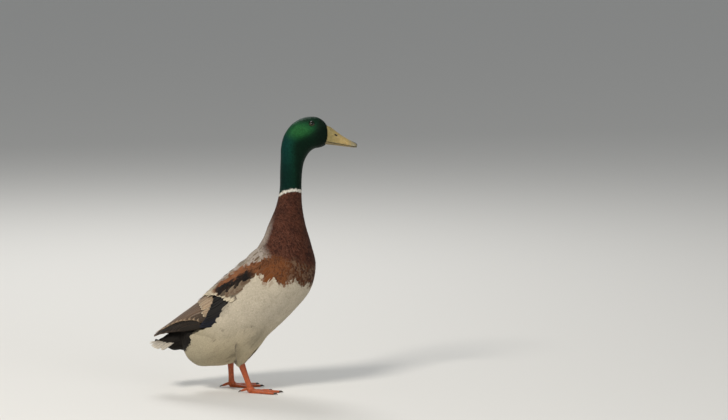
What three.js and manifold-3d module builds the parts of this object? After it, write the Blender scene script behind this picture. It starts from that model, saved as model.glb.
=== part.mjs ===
// A life-size Indian Runner drake in mallard colours, walking with its body leaning forward.
// Millimetres: +X is the way the bird faces, +Y its left side, +Z up. The soles stand on z = 0,
// and the origin is under the middle of the bird's bounding box.

import * as THREE from "three";
import { ParametricGeometry } from "three/addons/geometries/ParametricGeometry.js";
import { mergeVertices } from "three/addons/utils/BufferGeometryUtils.js";
import Module from "manifold-3d";

const wasm = await Module();
wasm.setup();

// Driving dimensions
const PART_GAP = 0.32; // the clear gap between touching pieces
const FEATHER_THICK = 1.3;
const QUILL_DEPTH = 2.4; // how deep the quill ends of the wing feathers are rooted
const QUILL_STEP = 0.35; // each wing feather lies this much over the one before it
const TAIL_DROOP = 0.0135; // how the tail fan falls to the sides, by the square of the distance
const EYE_RADIUS = 6.2;
const EYE_X = 108.3;
const EYE_Z = 499;
const EYE_SUNK = 0.62; // how deep the ball sits, as a share of its radius
const EYE_LEVEL = 0.55; // the eyes look less upwards than the skin round them
const CLAW_LENGTH = 7.5;
const HIND_CLAW_LENGTH = 5.5;
const RIGHT_HOCK = new THREE.Vector3(-25, -32, 60);
const RIGHT_ANKLE = new THREE.Vector3(-7, -33, 9);
const LEFT_HOCK = new THREE.Vector3(-46, 31, 60);
const LEFT_ANKLE = new THREE.Vector3(-44, 32, 9);

// The body from rump to bill, one row a section:
// back x, z, then underside x, z, half the width, and how far up the section is widest.
const BODY = [
  [-132, 130, -133, 78, 22, 0.5], // rump
  [-117, 149, -120, 57, 40, 0.48],
  [-95, 163, -97, 46, 52, 0.47],
  [-73, 182.5, -61, 57, 58.5, 0.47],
  [-49.5, 204.5, -25, 71, 61, 0.48],
  [-26, 227, 7, 90, 61, 0.48],
  [-6.5, 247, 38, 115, 60, 0.48],
  [8, 269, 72, 148, 58, 0.47],
  [19, 288, 104, 188, 53, 0.46],
  [26, 307, 114.5, 233, 45.5, 0.46],
  [33, 323, 106.5, 272, 37, 0.47], // foot of the neck
  [40, 340, 96, 309, 29.5, 0.48],
  [45.5, 360, 90, 342, 23.5, 0.5],
  [48.5, 379, 88.5, 373, 20.5, 0.5], // white ring
  [49, 407, 89.5, 405, 19.5, 0.5],
  [50, 433, 93.5, 427.5, 19.5, 0.5],
  [51, 455, 102.5, 444, 20.8, 0.5], // nape
  [57, 477, 112, 451.5, 22.3, 0.49],
  [71, 496.5, 121, 453.5, 22.8, 0.46],
  [91.5, 508.5, 127.5, 455.5, 21.5, 0.43],
  [113.5, 510.5, 132, 458, 18.6, 0.42],
  [128.5, 503.5, 135.5, 461.5, 15, 0.42],
  [137, 492.5, 137.5, 465.5, 11.4, 0.45], // edge of the bill
];
const RUMP_END = 0;
const NECK_FOOT = 10;
const RING = 13;
const NAPE = 16;
const BILL_EDGE = 22;

// The sheet that the folded wings lie in, from past their tips to the shoulders, in the same form.
const MANTLE = [
  [-196, 96, -184, 78, 9, 0.5],
  [-179, 109, -164, 88, 17, 0.5], // wing tips
  [-158, 124.5, -139, 94, 27, 0.5],
  [-138, 140, -117, 95, 38, 0.5],
  [-117, 156, -100, 87, 48, 0.5],
  [-96, 173, -80, 74, 57.5, 0.5],
  [-75, 192.5, -60, 60, 62.5, 0.49],
  [-53, 213, -25, 71, 65, 0.48],
  [-31, 231, 7, 90, 65, 0.48],
  [-11, 249, 38, 115, 63.5, 0.48],
  [6, 268, 72, 148, 60, 0.47], // shoulders
];
const WING_TIP = 1;
const WING_FRONT = 9.4;
// How far round the sheet the wing reaches, in degrees from the middle of the back, at each row above.
const WING_REACH = [60, 74, 80, 84, 90, 94, 90, 80, 70, 56, 40];

const PLUMAGE = {
  green: new THREE.MeshStandardMaterial({ color: 0x14402c, roughness: 0.4 }),
  claret: new THREE.MeshStandardMaterial({ color: 0x5b3527, roughness: 0.7 }),
  flank: new THREE.MeshStandardMaterial({ color: 0xb5ab98, roughness: 0.8 }),
  wing: new THREE.MeshStandardMaterial({ color: 0x6e5a44, roughness: 0.7 }),
  tail: new THREE.MeshStandardMaterial({ color: 0x2a2620, roughness: 0.7 }),
};
const BILL_HORN = new THREE.MeshStandardMaterial({ color: 0xa39a62, roughness: 0.45 });
const LEG_SKIN = new THREE.MeshStandardMaterial({ color: 0xc8541c, roughness: 0.5 });
const CLAW_HORN = new THREE.MeshStandardMaterial({ color: 0x3a2c22, roughness: 0.5 });
const EYE_DARK = new THREE.MeshStandardMaterial({ color: 0x120c08, roughness: 0.1 });

// Solids

function solidOf(geometry) {
  const shape = geometry.clone();
  shape.deleteAttribute("normal");
  shape.deleteAttribute("uv");
  const merged = mergeVertices(shape, 1e-4);
  const corners = merged.index.array;
  const faces = [];
  for (let i = 0; i < corners.length; i += 3) {
    const [a, b, c] = [corners[i], corners[i + 1], corners[i + 2]];
    if (a !== b && b !== c && c !== a) faces.push(a, b, c);
  }
  const build = (triVerts) =>
    new wasm.Manifold(
      new wasm.Mesh({
        numProp: 3,
        vertProperties: merged.attributes.position.array,
        triVerts: new Uint32Array(triVerts),
      }),
    );
  const made = build(faces);
  return made.volume() < 0 ? build(faces.reverse()) : made;
}

// A closed solid from rings of points: pointAt(t, turn) with t along it and turn round it, both 0 to 1.
function closedLoft(pointAt, along, around) {
  const capOf = (t) => {
    const middle = new THREE.Vector3();
    for (let k = 0; k < around; k++) middle.add(pointAt(t, k / around));
    return middle.divideScalar(around);
  };
  const caps = [capOf(0), capOf(1)];
  const rows = along + 2;
  const skin = new ParametricGeometry(
    (turn, t, target) => {
      const row = Math.round(t * rows);
      if (row === 0) target.copy(caps[0]);
      else if (row === rows) target.copy(caps[1]);
      else target.copy(pointAt((row - 1) / along, (Math.round(turn * around) % around) / around));
    },
    around,
    rows,
  );
  return solidOf(skin);
}

function joined(solids) {
  return solids.reduce((whole, piece) => whole.add(piece));
}

// The largest closed body of a solid: a cut can leave a loose scrap.
function largest(solid) {
  return solid.decompose().sort((a, b) => b.volume() - a.volume())[0];
}

function meshOf(name, solid, material) {
  const { numProp, numVert, vertProperties, triVerts } = solid.getMesh();
  const positions = new Float32Array(numVert * 3);
  for (let i = 0; i < numVert; i++)
    positions.set(vertProperties.subarray(i * numProp, i * numProp + 3), i * 3);
  const geometry = new THREE.BufferGeometry()
    .setAttribute("position", new THREE.BufferAttribute(positions, 3))
    .setIndex(new THREE.BufferAttribute(triVerts, 1));
  const mesh = new THREE.Mesh(geometry, material);
  mesh.name = name;
  return mesh;
}

function box(low, high) {
  const [lo, hi] = [new THREE.Vector3(...low), new THREE.Vector3(...high)];
  const size = hi.clone().sub(lo);
  const centre = lo.clone().add(hi).multiplyScalar(0.5);
  return solidOf(new THREE.BoxGeometry(size.x, size.y, size.z).translate(...centre));
}

function ellipsoid(centre, radii, turn = new THREE.Euler(), segments = 12) {
  const matrix = new THREE.Matrix4().compose(
    centre,
    new THREE.Quaternion().setFromEuler(turn),
    radii,
  );
  return solidOf(new THREE.SphereGeometry(1, segments, segments * 0.6).applyMatrix4(matrix));
}

// A limb or toe: round sections along a curve, each with its own two radii.
function limb(points, radii, along, around, grow = 0) {
  const curve = new THREE.CatmullRomCurve3(points);
  const size = new THREE.CatmullRomCurve3(radii.map(([fore, side]) => new THREE.Vector3(fore, side, 0)));
  return closedLoft(
    (t, turn) => {
      const centre = curve.getPoint(t);
      const axis = curve.getTangent(t);
      const side = new THREE.Vector3(0, 1, 0).addScaledVector(axis, -axis.y).normalize();
      const fore = side.clone().cross(axis).normalize();
      const { x, y } = size.getPoint(t);
      const angle = turn * Math.PI * 2;
      return centre
        .addScaledVector(fore, (x + grow) * Math.cos(angle))
        .addScaledVector(side, (y + grow) * Math.sin(angle));
    },
    along,
    around,
  );
}

// A lofted form, read by row number and by the angle round from the back, in radians.
class Form {
  constructor(rows) {
    this.last = rows.length - 1;
    this.back = new THREE.CatmullRomCurve3(
      rows.map(([x, z]) => new THREE.Vector3(x, 0, z)),
      false,
      "catmullrom",
    );
    this.under = new THREE.CatmullRomCurve3(
      rows.map(([, , x, z]) => new THREE.Vector3(x, 0, z)),
      false,
      "catmullrom",
    );
    this.breadth = new THREE.CatmullRomCurve3(
      rows.map(([, , , , width, widest]) => new THREE.Vector3(width, widest, 0)),
      false,
      "catmullrom",
    );
  }

  point(row, angle, grow = 0) {
    const t = THREE.MathUtils.clamp(row / this.last, 0, 1);
    const back = this.back.getPoint(t);
    const under = this.under.getPoint(t);
    const { x: width, y: widest } = this.breadth.getPoint(t);
    const centre = under.clone().lerp(back, widest);
    const up = (Math.cos(angle) >= 0 ? back : under).clone().sub(centre);
    const reach = (up.length() + grow) * Math.abs(Math.cos(angle));
    const made = centre.clone().addScaledVector(up.normalize(), reach);
    made.y = (width + grow) * Math.sin(angle);
    return made;
  }

  // How the surface point moves with the row and with the angle.
  slopes(row, angle) {
    const step = 0.02;
    const from = this.point(row - step, angle);
    const alongRow = this.point(row + step, angle).sub(from).divideScalar(2 * step);
    const before = this.point(row, angle - step);
    const round = this.point(row, angle + step).sub(before).divideScalar(2 * step);
    return { alongRow, round, normal: alongRow.clone().cross(round).normalize() };
  }

  solid(firstRow, lastRow, along, around, grow = 0) {
    return closedLoft(
      (t, turn) =>
        this.point(THREE.MathUtils.lerp(firstRow, lastRow, t), turn * Math.PI * 2, grow),
      along,
      around,
    );
  }

  // The row that lies a distance in millimetres from a given row, measured through the middle.
  rowAt(row, distance) {
    const t = row / this.last;
    const step = 1e-3;
    const middleAt = (u) => this.back.getPoint(u).lerp(this.under.getPoint(u), 0.5);
    const speed = middleAt(Math.min(1, t + step)).distanceTo(middleAt(Math.max(0, t - step)));
    const span = Math.min(1, t + step) - Math.max(0, t - step);
    return row + (distance * span * this.last) / speed;
  }

  // The place on the side of the form that shows at x, z from the left.
  sideAt(x, z, firstRow, lastRow) {
    let best = { miss: Infinity };
    for (let row = firstRow; row <= lastRow; row += 0.02)
      for (let angle = 0.05; angle < Math.PI; angle += 0.02) {
        const p = this.point(row, angle);
        const miss = Math.hypot(p.x - x, p.z - z);
        if (miss < best.miss) best = { miss, row, angle, point: p };
      }
    return { ...best, normal: this.slopes(best.row, best.angle).normal };
  }
}

const body = new Form(BODY);
const mantle = new Form(MANTLE);

// Feathers

// Half the width of a vane, as a share of its greatest, from quill to tip.
function vaneShare(t, blunt) {
  const base = 0.4 + 0.6 * Math.sin((Math.PI / 2) * Math.min(1, t / 0.45));
  const past = Math.max(0, (t - blunt) / (1 - blunt));
  return base * Math.sqrt(Math.max(0.03, 1 - past * past));
}

// One vane with six corners a section, split alike above and below. place(along, across, height).
function vane(place, length, width, { thick = FEATHER_THICK, blunt = 0.6, steps = 3 } = {}) {
  const across = [-1, 0, 1, 1, 0, -1];
  const edge = [0.42, 1, 0.42, 0.42, 1, 0.42];
  return closedLoft(
    (t, turn) => {
      const corner = Math.round(turn * 6) % 6;
      const bunched = t ** 0.85;
      const half = (width / 2) * vaneShare(bunched, blunt);
      const height = (thick / 2) * edge[corner] * (corner < 3 ? 1 : -1);
      return place(bunched * length, across[corner] * half, height);
    },
    steps,
    6,
  );
}

// Lays a vane on a form: it starts at a row and an angle and runs towards the tail, turned by yaw.
// It rises from sink below the surface at the quill to lift above it at the tip.
function layOn(form, row, angle, yaw, sink, lift, length) {
  return (along, across, height) => {
    const steps = 6;
    let [r, a] = [row, angle];
    for (let i = 0; i < steps; i++) {
      const { alongRow, round } = form.slopes(r, a);
      r -= (along * Math.cos(yaw)) / steps / alongRow.length();
      a += (along * Math.sin(yaw)) / steps / round.length();
    }
    const { alongRow, round, normal } = form.slopes(r, a);
    const rise = THREE.MathUtils.lerp(-sink, lift, Math.min(1, along / length));
    return form
      .point(r, a)
      .addScaledVector(alongRow.normalize(), across * Math.sin(yaw))
      .addScaledVector(round.normalize(), across * Math.cos(yaw))
      .addScaledVector(normal, rise + height);
  };
}

// Feathers of a folded wing, tier by tier: their count, then for the first and the last of them the row
// of the quill, its angle, its yaw and the length, and then the width and how far the tips stand off.
const WING_TIERS = {
  primaries: [4, [4.1, 4.9], [78, 54], [-3, -5], [78, 102], 14, 0],
  tertials: [4, [5.3, 5.9], [64, 20], [-4, -1], [84, 110], 20, 1],
  secondaries: [6, [6.7, 6.4], [86, 50], [0, -2], [52, 52], 14, 0.6],
  greaterCoverts: [4, [7.8, 7.4], [74, 44], [0, -2], [38, 38], 19, 1.2],
  longScapulars: [3, [7.0, 7.3], [46, 12], [0, 2], [60, 58], 23, 1.6],
  middleScapulars: [3, [8.1, 8.3], [48, 12], [2, 2], [44, 42], 24, 2],
  shortScapulars: [3, [9.1, 9.3], [46, 12], [4, 2], [38, 36], 23, 1.8],
};

function between([first, last], share) {
  return THREE.MathUtils.lerp(first, last, share);
}

// Small differences between feathers, the same at every run: vary(0.05) gives a value within 0.05 of 0.
function seededVariation(seed) {
  const modulus = 2147483647;
  let state = seed;
  return (amount) => {
    state = (state * 16807) % modulus;
    return amount * ((2 * state) / modulus - 1);
  };
}

const WING_EDGE = new THREE.CatmullRomCurve3(
  WING_REACH.map((degrees) => new THREE.Vector3(THREE.MathUtils.degToRad(degrees), 0, 0)),
  false,
  "catmullrom",
);

// The sheet of the left wing from the middle of the back to its edge, with its outer and inner depth.
function wingSheet([firstRow, lastRow], widen, outerDepth, innerDepth, along = 10, arcSteps = 6) {
  const around = arcSteps * 2 + 2;
  return closedLoft(
    (t, turn) => {
      const row = THREE.MathUtils.lerp(firstRow, lastRow, t);
      const corner = Math.round(turn * around) % around;
      const outer = corner <= arcSteps;
      const share = outer ? corner / arcSteps : (around - 1 - corner) / arcSteps;
      const reach = WING_EDGE.getPoint(THREE.MathUtils.clamp(row / mantle.last, 0, 1)).x;
      const angle = THREE.MathUtils.lerp(0.01, reach + widen, share);
      const depth = outer ? outerDepth(row) : innerDepth(row, share);
      return mantle.point(row, angle).addScaledVector(mantle.slopes(row, angle).normal, -depth);
    },
    along,
    around,
  );
}

// The core fills the space down to the body, and stays thin where it hangs free behind.
function wingCore() {
  const depthOf = (row, share) => {
    const free = THREE.MathUtils.smoothstep(row, 3, 5.5);
    return 2.2 + THREE.MathUtils.lerp(2.2, 14, free) * (1 - 0.75 * share ** 3);
  };
  const sinkOf = (row) => 0.9 + 2.6 * THREE.MathUtils.smoothstep(row, 8.7, WING_FRONT);
  return wingSheet([WING_TIP + 1.2, WING_FRONT], -0.06, sinkOf, depthOf);
}

// A folded left wing: a thin core on the mantle sheet, with feathers in tiers.
function leftWing(keepClear) {
  const vary = seededVariation(11);
  const feathers = Object.values(WING_TIERS).flatMap(([count, rows, angles, yaws, lengths, width, lift]) =>
    Array.from({ length: count }, (_, i) => {
      const share = i / (count - 1);
      const long = between(lengths, share) * (1 + vary(0.04));
      const place = layOn(
        mantle,
        between(rows, share) + vary(0.05),
        THREE.MathUtils.degToRad(between(angles, share) + vary(0.8)),
        THREE.MathUtils.degToRad(between(yaws, share) + vary(1)),
        QUILL_DEPTH,
        lift + QUILL_STEP * i,
        long,
      );
      return vane(place, long, width * (1 + vary(0.05)));
    }),
  );
  const leftHalf = box([-400, PART_GAP, -50], [400, 200, 600]);
  const whole = joined([wingCore(), ...feathers]).intersect(leftHalf);
  return largest(whole.subtract(keepClear));
}

// The tail: a short core, a fan of tail feathers, and the coverts over and under their roots
const TAIL_CORE = [
  [-133.4, 126, -134.4, 76, 20.5, 0.5],
  [-148, 114, -150, 76, 19.5, 0.5],
  [-163, 103, -163, 82, 14, 0.5],
  [-174, 95, -173, 88, 6, 0.5],
];
const TAIL_ROOT = new THREE.Vector3(-128, 0, 104);
const TAIL_PITCH = THREE.MathUtils.degToRad(12);
// Each fan: its count, half its spread in degrees, how far from the root the quills start, the lengths at
// the sides and in the middle, the width, and the height and slope over the tail feathers.
const TAIL_FANS = {
  tailFeathers: [10, 31, 12, [47, 55], 16, 0, 0],
  upperCoverts: [5, 26, 4, [34, 40], 17, 5, -0.08],
  underCoverts: [5, 24, 4, [36, 44], 17, -15, 0.26],
};

// A place in the fan: it droops to the sides by the square of the distance across.
function layInFan(angle, start, rise, tilt) {
  return (along, across, height) => {
    const distance = start + along;
    const side = distance * Math.sin(angle) + across * Math.cos(angle);
    const out = distance * Math.cos(angle) - across * Math.sin(angle);
    const droop = TAIL_DROOP * side * side;
    const up = rise + tilt * along + height - droop;
    return new THREE.Vector3(
      TAIL_ROOT.x - out * Math.cos(TAIL_PITCH) - up * Math.sin(TAIL_PITCH),
      side,
      TAIL_ROOT.z - out * Math.sin(TAIL_PITCH) + up * Math.cos(TAIL_PITCH),
    );
  };
}

function fanOf([count, spread, start, lengths, width, rise, tilt], vary) {
  return Array.from({ length: count }, (_, i) => {
    const share = (2 * i) / (count - 1) - 1;
    const angle = THREE.MathUtils.degToRad(spread * share + vary(1));
    const long = between(lengths, 1 - share * share) * (1 + vary(0.03));
    const stack = rise - 0.9 * Math.abs(share) * (rise < 0 ? -1 : 1);
    return vane(layInFan(angle, start, stack, tilt), long, width * (1 + vary(0.04)));
  });
}

function tailSolid(keepClear) {
  const vary = seededVariation(23);
  const core = new Form(TAIL_CORE).solid(0, TAIL_CORE.length - 1, 5, 14);
  const feathers = Object.values(TAIL_FANS).flatMap((fan) => fanOf(fan, vary));
  return largest(joined([core, ...feathers]).subtract(keepClear));
}

// Head

const EYE_PLACE = body.sideAt(EYE_X, EYE_Z, NAPE, BILL_EDGE);
const EYE_LOOK = EYE_PLACE.normal.clone().multiply(new THREE.Vector3(1, 1, EYE_LEVEL)).normalize();

// The same vector on the left, or mirrored on the right.
function onSide(vector, side) {
  return new THREE.Vector3(vector.x, vector.y * side, vector.z);
}

function eyeCentre(side) {
  return onSide(EYE_PLACE.point.clone().addScaledVector(EYE_LOOK, -EYE_RADIUS * EYE_SUNK), side);
}

function eyeBall(side, grow = 0) {
  const radius = EYE_RADIUS + grow;
  return ellipsoid(eyeCentre(side), new THREE.Vector3(radius, radius, radius), undefined, 14);
}

// The rim of the lids, a little longer than it is tall, set a little into the skin.
function lids(side) {
  const rimRadius = 5.1;
  const rimThick = 1.35;
  const look = onSide(EYE_LOOK, side);
  const matrix = new THREE.Matrix4().compose(
    onSide(EYE_PLACE.point, side).addScaledVector(look, -0.35),
    new THREE.Quaternion().setFromUnitVectors(new THREE.Vector3(0, 0, 1), look),
    new THREE.Vector3(1.06, 0.92, 1),
  );
  return solidOf(new THREE.TorusGeometry(rimRadius, rimThick, 5, 14).applyMatrix4(matrix));
}

function headSolid(grow = 0) {
  const skull = body.solid(body.rowAt(NAPE, PART_GAP / 2), BILL_EDGE, 12, 20, grow);
  if (grow) return skull;
  return joined([skull, lids(1), lids(-1)])
    .subtract(eyeBall(1, PART_GAP))
    .subtract(eyeBall(-1, PART_GAP));
}

// Bill: sections stand on the line of the mouth, which slopes down to the tip
const MOUTH_BACK = new THREE.Vector3(128, 0, 466.8);
const MOUTH_TIP = new THREE.Vector3(191, 0, 455.2);
const BILL_ROWS = [
  // share of the way to the tip, half width, height of the upper bill, depth of the lower one
  [0, 10.5, 29, 6.5],
  [0.15, 11.4, 27, 6],
  [0.3, 10.8, 22, 5.2],
  [0.5, 10, 15.6, 4.4],
  [0.7, 10.4, 10.6, 3.6],
  [0.85, 10.8, 7.8, 3],
  [0.94, 9.2, 6.2, 2.4],
  [1, 4.6, 3.4, 1.4],
];

function billRow(t) {
  const places = BILL_ROWS.map(([share]) => share);
  const next = Math.max(1, places.findIndex((share) => share >= t));
  const local = (t - places[next - 1]) / (places[next] - places[next - 1]);
  return BILL_ROWS[next].map((value, k) => THREE.MathUtils.lerp(BILL_ROWS[next - 1][k], value, local));
}

// One half of the bill: an arch of even corners, closed by a flat side along the mouth.
function billHalf(upper) {
  const mouth = MOUTH_TIP.clone().sub(MOUTH_BACK);
  const along = mouth.clone().normalize();
  const up = new THREE.Vector3(-along.z, 0, along.x);
  const around = 16;
  const archEnd = 10;
  const archTop = archEnd / 2;
  const flatMiddle = (archEnd + around) / 2;
  return closedLoft(
    (t, turn) => {
      const [share, half, height, depth] = billRow(t);
      const corner = Math.round(turn * around) % around;
      const width = upper ? half : half - 1;
      const rise = upper ? height : depth;
      let y = ((flatMiddle - corner) / (around - flatMiddle)) * width * 0.72;
      let z = 0;
      if (corner <= archEnd) {
        const angle = ((corner - archTop) / archTop) * (Math.PI / 2);
        y = width * Math.sign(angle) * Math.abs(Math.sin(angle)) ** 0.8;
        z = rise * Math.cos(angle) ** 0.75;
      }
      const lift = (upper ? 1 : -1) * (PART_GAP / 2 + z);
      return MOUTH_BACK.clone()
        .addScaledVector(mouth, share)
        .addScaledVector(up, lift)
        .add(new THREE.Vector3(0, y, 0));
    },
    9,
    around,
  );
}

// The nail at the tip and the left nostril, each an ellipsoid turned down along the bill.
const NAIL_AT = new THREE.Vector3(186.5, 0, 460.4);
const NAIL_RADII = new THREE.Vector3(5.4, 3.4, 2.6);
const NOSTRIL_AT = new THREE.Vector3(152.5, 7.6, 477.2);
const NOSTRIL_RADII = new THREE.Vector3(4.2, 2.2, 1.7);

function upperBill(head) {
  const nail = ellipsoid(NAIL_AT, NAIL_RADII, new THREE.Euler(0, 0.45, 0), 10);
  const nostrils = [1, -1].map((side) =>
    ellipsoid(onSide(NOSTRIL_AT, side), NOSTRIL_RADII, new THREE.Euler(0, 0.5, 0), 8),
  );
  const cuts = joined([...nostrils, billHalf(false), head]);
  return largest(billHalf(true).add(nail).subtract(cuts));
}

// Legs

function thigh(hock, side, grow = 0) {
  const hip = new THREE.Vector3(hock.x + 16, 33 * side, 118);
  const middle = hip.clone().lerp(hock, 0.55);
  return limb(
    [hip, middle, hock.clone().add(new THREE.Vector3(0, 0, 1))],
    [[25, 21], [17, 15], [8.2, 7.4]],
    6,
    12,
    grow,
  );
}

function shank(hock, ankle, grow = 0) {
  const along = ankle.clone().sub(hock).normalize();
  const knob = hock.clone().addScaledVector(along, -2);
  return limb(
    [
      knob,
      hock.clone().lerp(ankle, 0.16),
      hock.clone().lerp(ankle, 0.55),
      hock.clone().lerp(ankle, 0.88),
      ankle.clone().addScaledVector(along, 1),
    ],
    [[6.2, 5.6], [6.4, 5.2], [5.2, 3.9], [5.4, 4.4], [6.2, 5.4]],
    7,
    10,
    grow,
  );
}

// Toes, from the inner one out: the way each points, in degrees from straight ahead, and its length
const TOES = [
  { name: "inner", turn: -27, length: 39, radius: 3 },
  { name: "middle", turn: -1, length: 54, radius: 3.4 },
  { name: "outer", turn: 24, length: 49, radius: 3.1 },
];
const TOE_HEIGHT = 2.2;
const WEB_THICK = 1.3;

function toeDirection(turn, side) {
  const angle = THREE.MathUtils.degToRad(turn) * side;
  return new THREE.Vector3(Math.cos(angle), Math.sin(angle), 0);
}

function ankleKnob(ankle, grow = 0) {
  const radii = new THREE.Vector3(7.6, 6.8, 7).addScalar(grow);
  return ellipsoid(new THREE.Vector3(ankle.x + 1, ankle.y, 6.2), radii, undefined, 12);
}

function toeSolid(ankle, { turn, length, radius }, side) {
  const ahead = toeDirection(turn, side);
  const at = (share, height) =>
    new THREE.Vector3(ankle.x, ankle.y, height).addScaledVector(ahead, length * share);
  const points = [at(0.02, 5), at(0.3, TOE_HEIGHT + 0.9), at(0.62, TOE_HEIGHT + 0.2), at(1, TOE_HEIGHT)];
  const radii = [
    [radius + 0.9, radius + 1],
    [radius, radius],
    [radius * 0.92, radius * 0.95],
    [radius * 0.7, radius * 0.72],
  ];
  return limb(points, radii, 5, 8);
}

// The web between the toes, its free edges drawn in between the tips.
function webSolid(ankle, side) {
  const tip = (toe, share) => toeDirection(toe.turn, side).multiplyScalar(toe.length * share);
  const [inner, middle, outer] = TOES;
  const [a, b, c] = [tip(inner, 0.96), tip(middle, 0.95), tip(outer, 0.96)];
  const drawnIn = (from, to) => from.clone().add(to).multiplyScalar(0.44);
  const outline = new THREE.Shape();
  outline.moveTo(-3, -2.5 * side);
  outline.lineTo(a.x, a.y);
  outline.quadraticCurveTo(drawnIn(a, b).x, drawnIn(a, b).y, b.x, b.y);
  outline.quadraticCurveTo(drawnIn(b, c).x, drawnIn(b, c).y, c.x, c.y);
  outline.lineTo(-3, 2.5 * side);
  outline.closePath();
  const settings = { depth: WEB_THICK, bevelEnabled: false, curveSegments: 4 };
  return solidOf(new THREE.ExtrudeGeometry(outline, settings).translate(ankle.x, ankle.y, 0));
}

function hindToePoints(ankle, side) {
  return [
    new THREE.Vector3(ankle.x - 3, ankle.y - 2 * side, 8),
    new THREE.Vector3(ankle.x - 10, ankle.y - 3.2 * side, 5.6),
    new THREE.Vector3(ankle.x - 17, ankle.y - 4.4 * side, 3.2),
  ];
}

// The foot is cut flat at the floor and fits round the shank, except inside the ankle.
function footSolid(ankle, shankAboveAnkle, side) {
  const hindToe = limb(hindToePoints(ankle, side), [[2.6, 2.4], [2.6, 2.2], [1.7, 1.6]], 4, 8);
  const toes = TOES.map((toe) => toeSolid(ankle, toe, side));
  const pieces = [ankleKnob(ankle), webSolid(ankle, side), hindToe, ...toes];
  const aboveFloor = box([-300, -200, 0], [300, 200, 100]);
  return largest(joined(pieces).intersect(aboveFloor).subtract(shankAboveAnkle));
}

function clawSolid(root, ahead, length, radius) {
  const at = (along, up) => root.clone().addScaledVector(ahead, along).add(new THREE.Vector3(0, 0, up));
  return limb(
    [at(PART_GAP, 0), at(length * 0.5, 0.4), at(length, -0.9)],
    [[radius, radius * 0.8], [radius * 0.75, radius * 0.6], [0.4, 0.35]],
    3,
    6,
  );
}

function legMeshes(side, hock, ankle, torsoGrown) {
  const word = side > 0 ? "left" : "right";
  const clearOfShank = thigh(hock, side, PART_GAP).add(ankleKnob(ankle, PART_GAP));
  const shankAboveAnkle = shank(hock, ankle, PART_GAP).subtract(ankleKnob(ankle));
  const meshes = [
    meshOf(`thigh_${word}`, largest(thigh(hock, side).subtract(torsoGrown)), PLUMAGE.flank),
    meshOf(`shank_${word}`, largest(shank(hock, ankle).subtract(clearOfShank)), LEG_SKIN),
    meshOf(`foot_${word}`, footSolid(ankle, shankAboveAnkle, side), LEG_SKIN),
  ];
  const addClaw = (name, root, ahead, length, radius) =>
    meshes.push(meshOf(`claw_${name}_${word}`, clawSolid(root, ahead, length, radius), CLAW_HORN));
  TOES.forEach(({ name, turn, length, radius }) => {
    const ahead = toeDirection(turn, side);
    const root = new THREE.Vector3(ankle.x, ankle.y, TOE_HEIGHT + 0.1).addScaledVector(ahead, length);
    addClaw(name, root, ahead, CLAW_LENGTH, radius * 0.62);
  });
  const [, knuckle, hindRoot] = hindToePoints(ankle, side);
  addClaw("hind", hindRoot, hindRoot.clone().sub(knuckle).normalize(), HIND_CLAW_LENGTH, 1.5);
  return meshes;
}

// The bird

const drake = new THREE.Group();
const halfGap = PART_GAP / 2;
const torsoEnd = body.rowAt(NECK_FOOT, -halfGap);
const torso = body.solid(RUMP_END, torsoEnd, 14, 24);
const torsoGrown = body.solid(RUMP_END, torsoEnd, 14, 24, PART_GAP);
const neckLower = body.solid(body.rowAt(NECK_FOOT, halfGap), body.rowAt(RING, -halfGap), 5, 22);
const neckUpper = body.solid(body.rowAt(RING, halfGap), body.rowAt(NAPE, -halfGap), 6, 20);
const headGrown = headSolid(PART_GAP);

const wing = leftWing(torsoGrown);
const wingMirrored = meshOf("wing_right", wing, PLUMAGE.wing);
wingMirrored.scale.y = -1;

const wingSpace = wingSheet([0.1, 4.4], 0.16, () => -6, () => 8, 5, 4);
const tailClear = torsoGrown.add(wingSpace).add(wingSpace.mirror([0, 1, 0]));

drake.add(
  meshOf("torso", torso, PLUMAGE.flank),
  meshOf("neck_lower", neckLower, PLUMAGE.claret),
  meshOf("neck_upper", neckUpper, PLUMAGE.green),
  meshOf("head", headSolid(), PLUMAGE.green),
  meshOf("eye_left", eyeBall(1), EYE_DARK),
  meshOf("eye_right", eyeBall(-1), EYE_DARK),
  meshOf("bill_upper", upperBill(headGrown), BILL_HORN),
  meshOf("bill_lower", largest(billHalf(false).subtract(headGrown)), BILL_HORN),
  meshOf("wing_left", wing, PLUMAGE.wing),
  wingMirrored,
  meshOf("tail", tailSolid(tailClear), PLUMAGE.tail),
  ...legMeshes(1, LEFT_HOCK, LEFT_ANKLE, torsoGrown),
  ...legMeshes(-1, RIGHT_HOCK, RIGHT_ANKLE, torsoGrown),
);

// The origin goes under the middle of the bird's bounding box.
const bounds = new THREE.Box3().setFromObject(drake);
const middle = bounds.getCenter(new THREE.Vector3());
drake.position.set(-middle.x, -middle.y, -bounds.min.z);

export default drake;
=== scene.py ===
"""An Indian Runner drake in mallard colours, walking upright, dressed over its solids."""

import math

import bmesh
import bpy
import numpy as np
from mathutils import Matrix, Vector
from mathutils.bvhtree import BVHTree
from mathutils.geometry import tessellate_polygon


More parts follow.
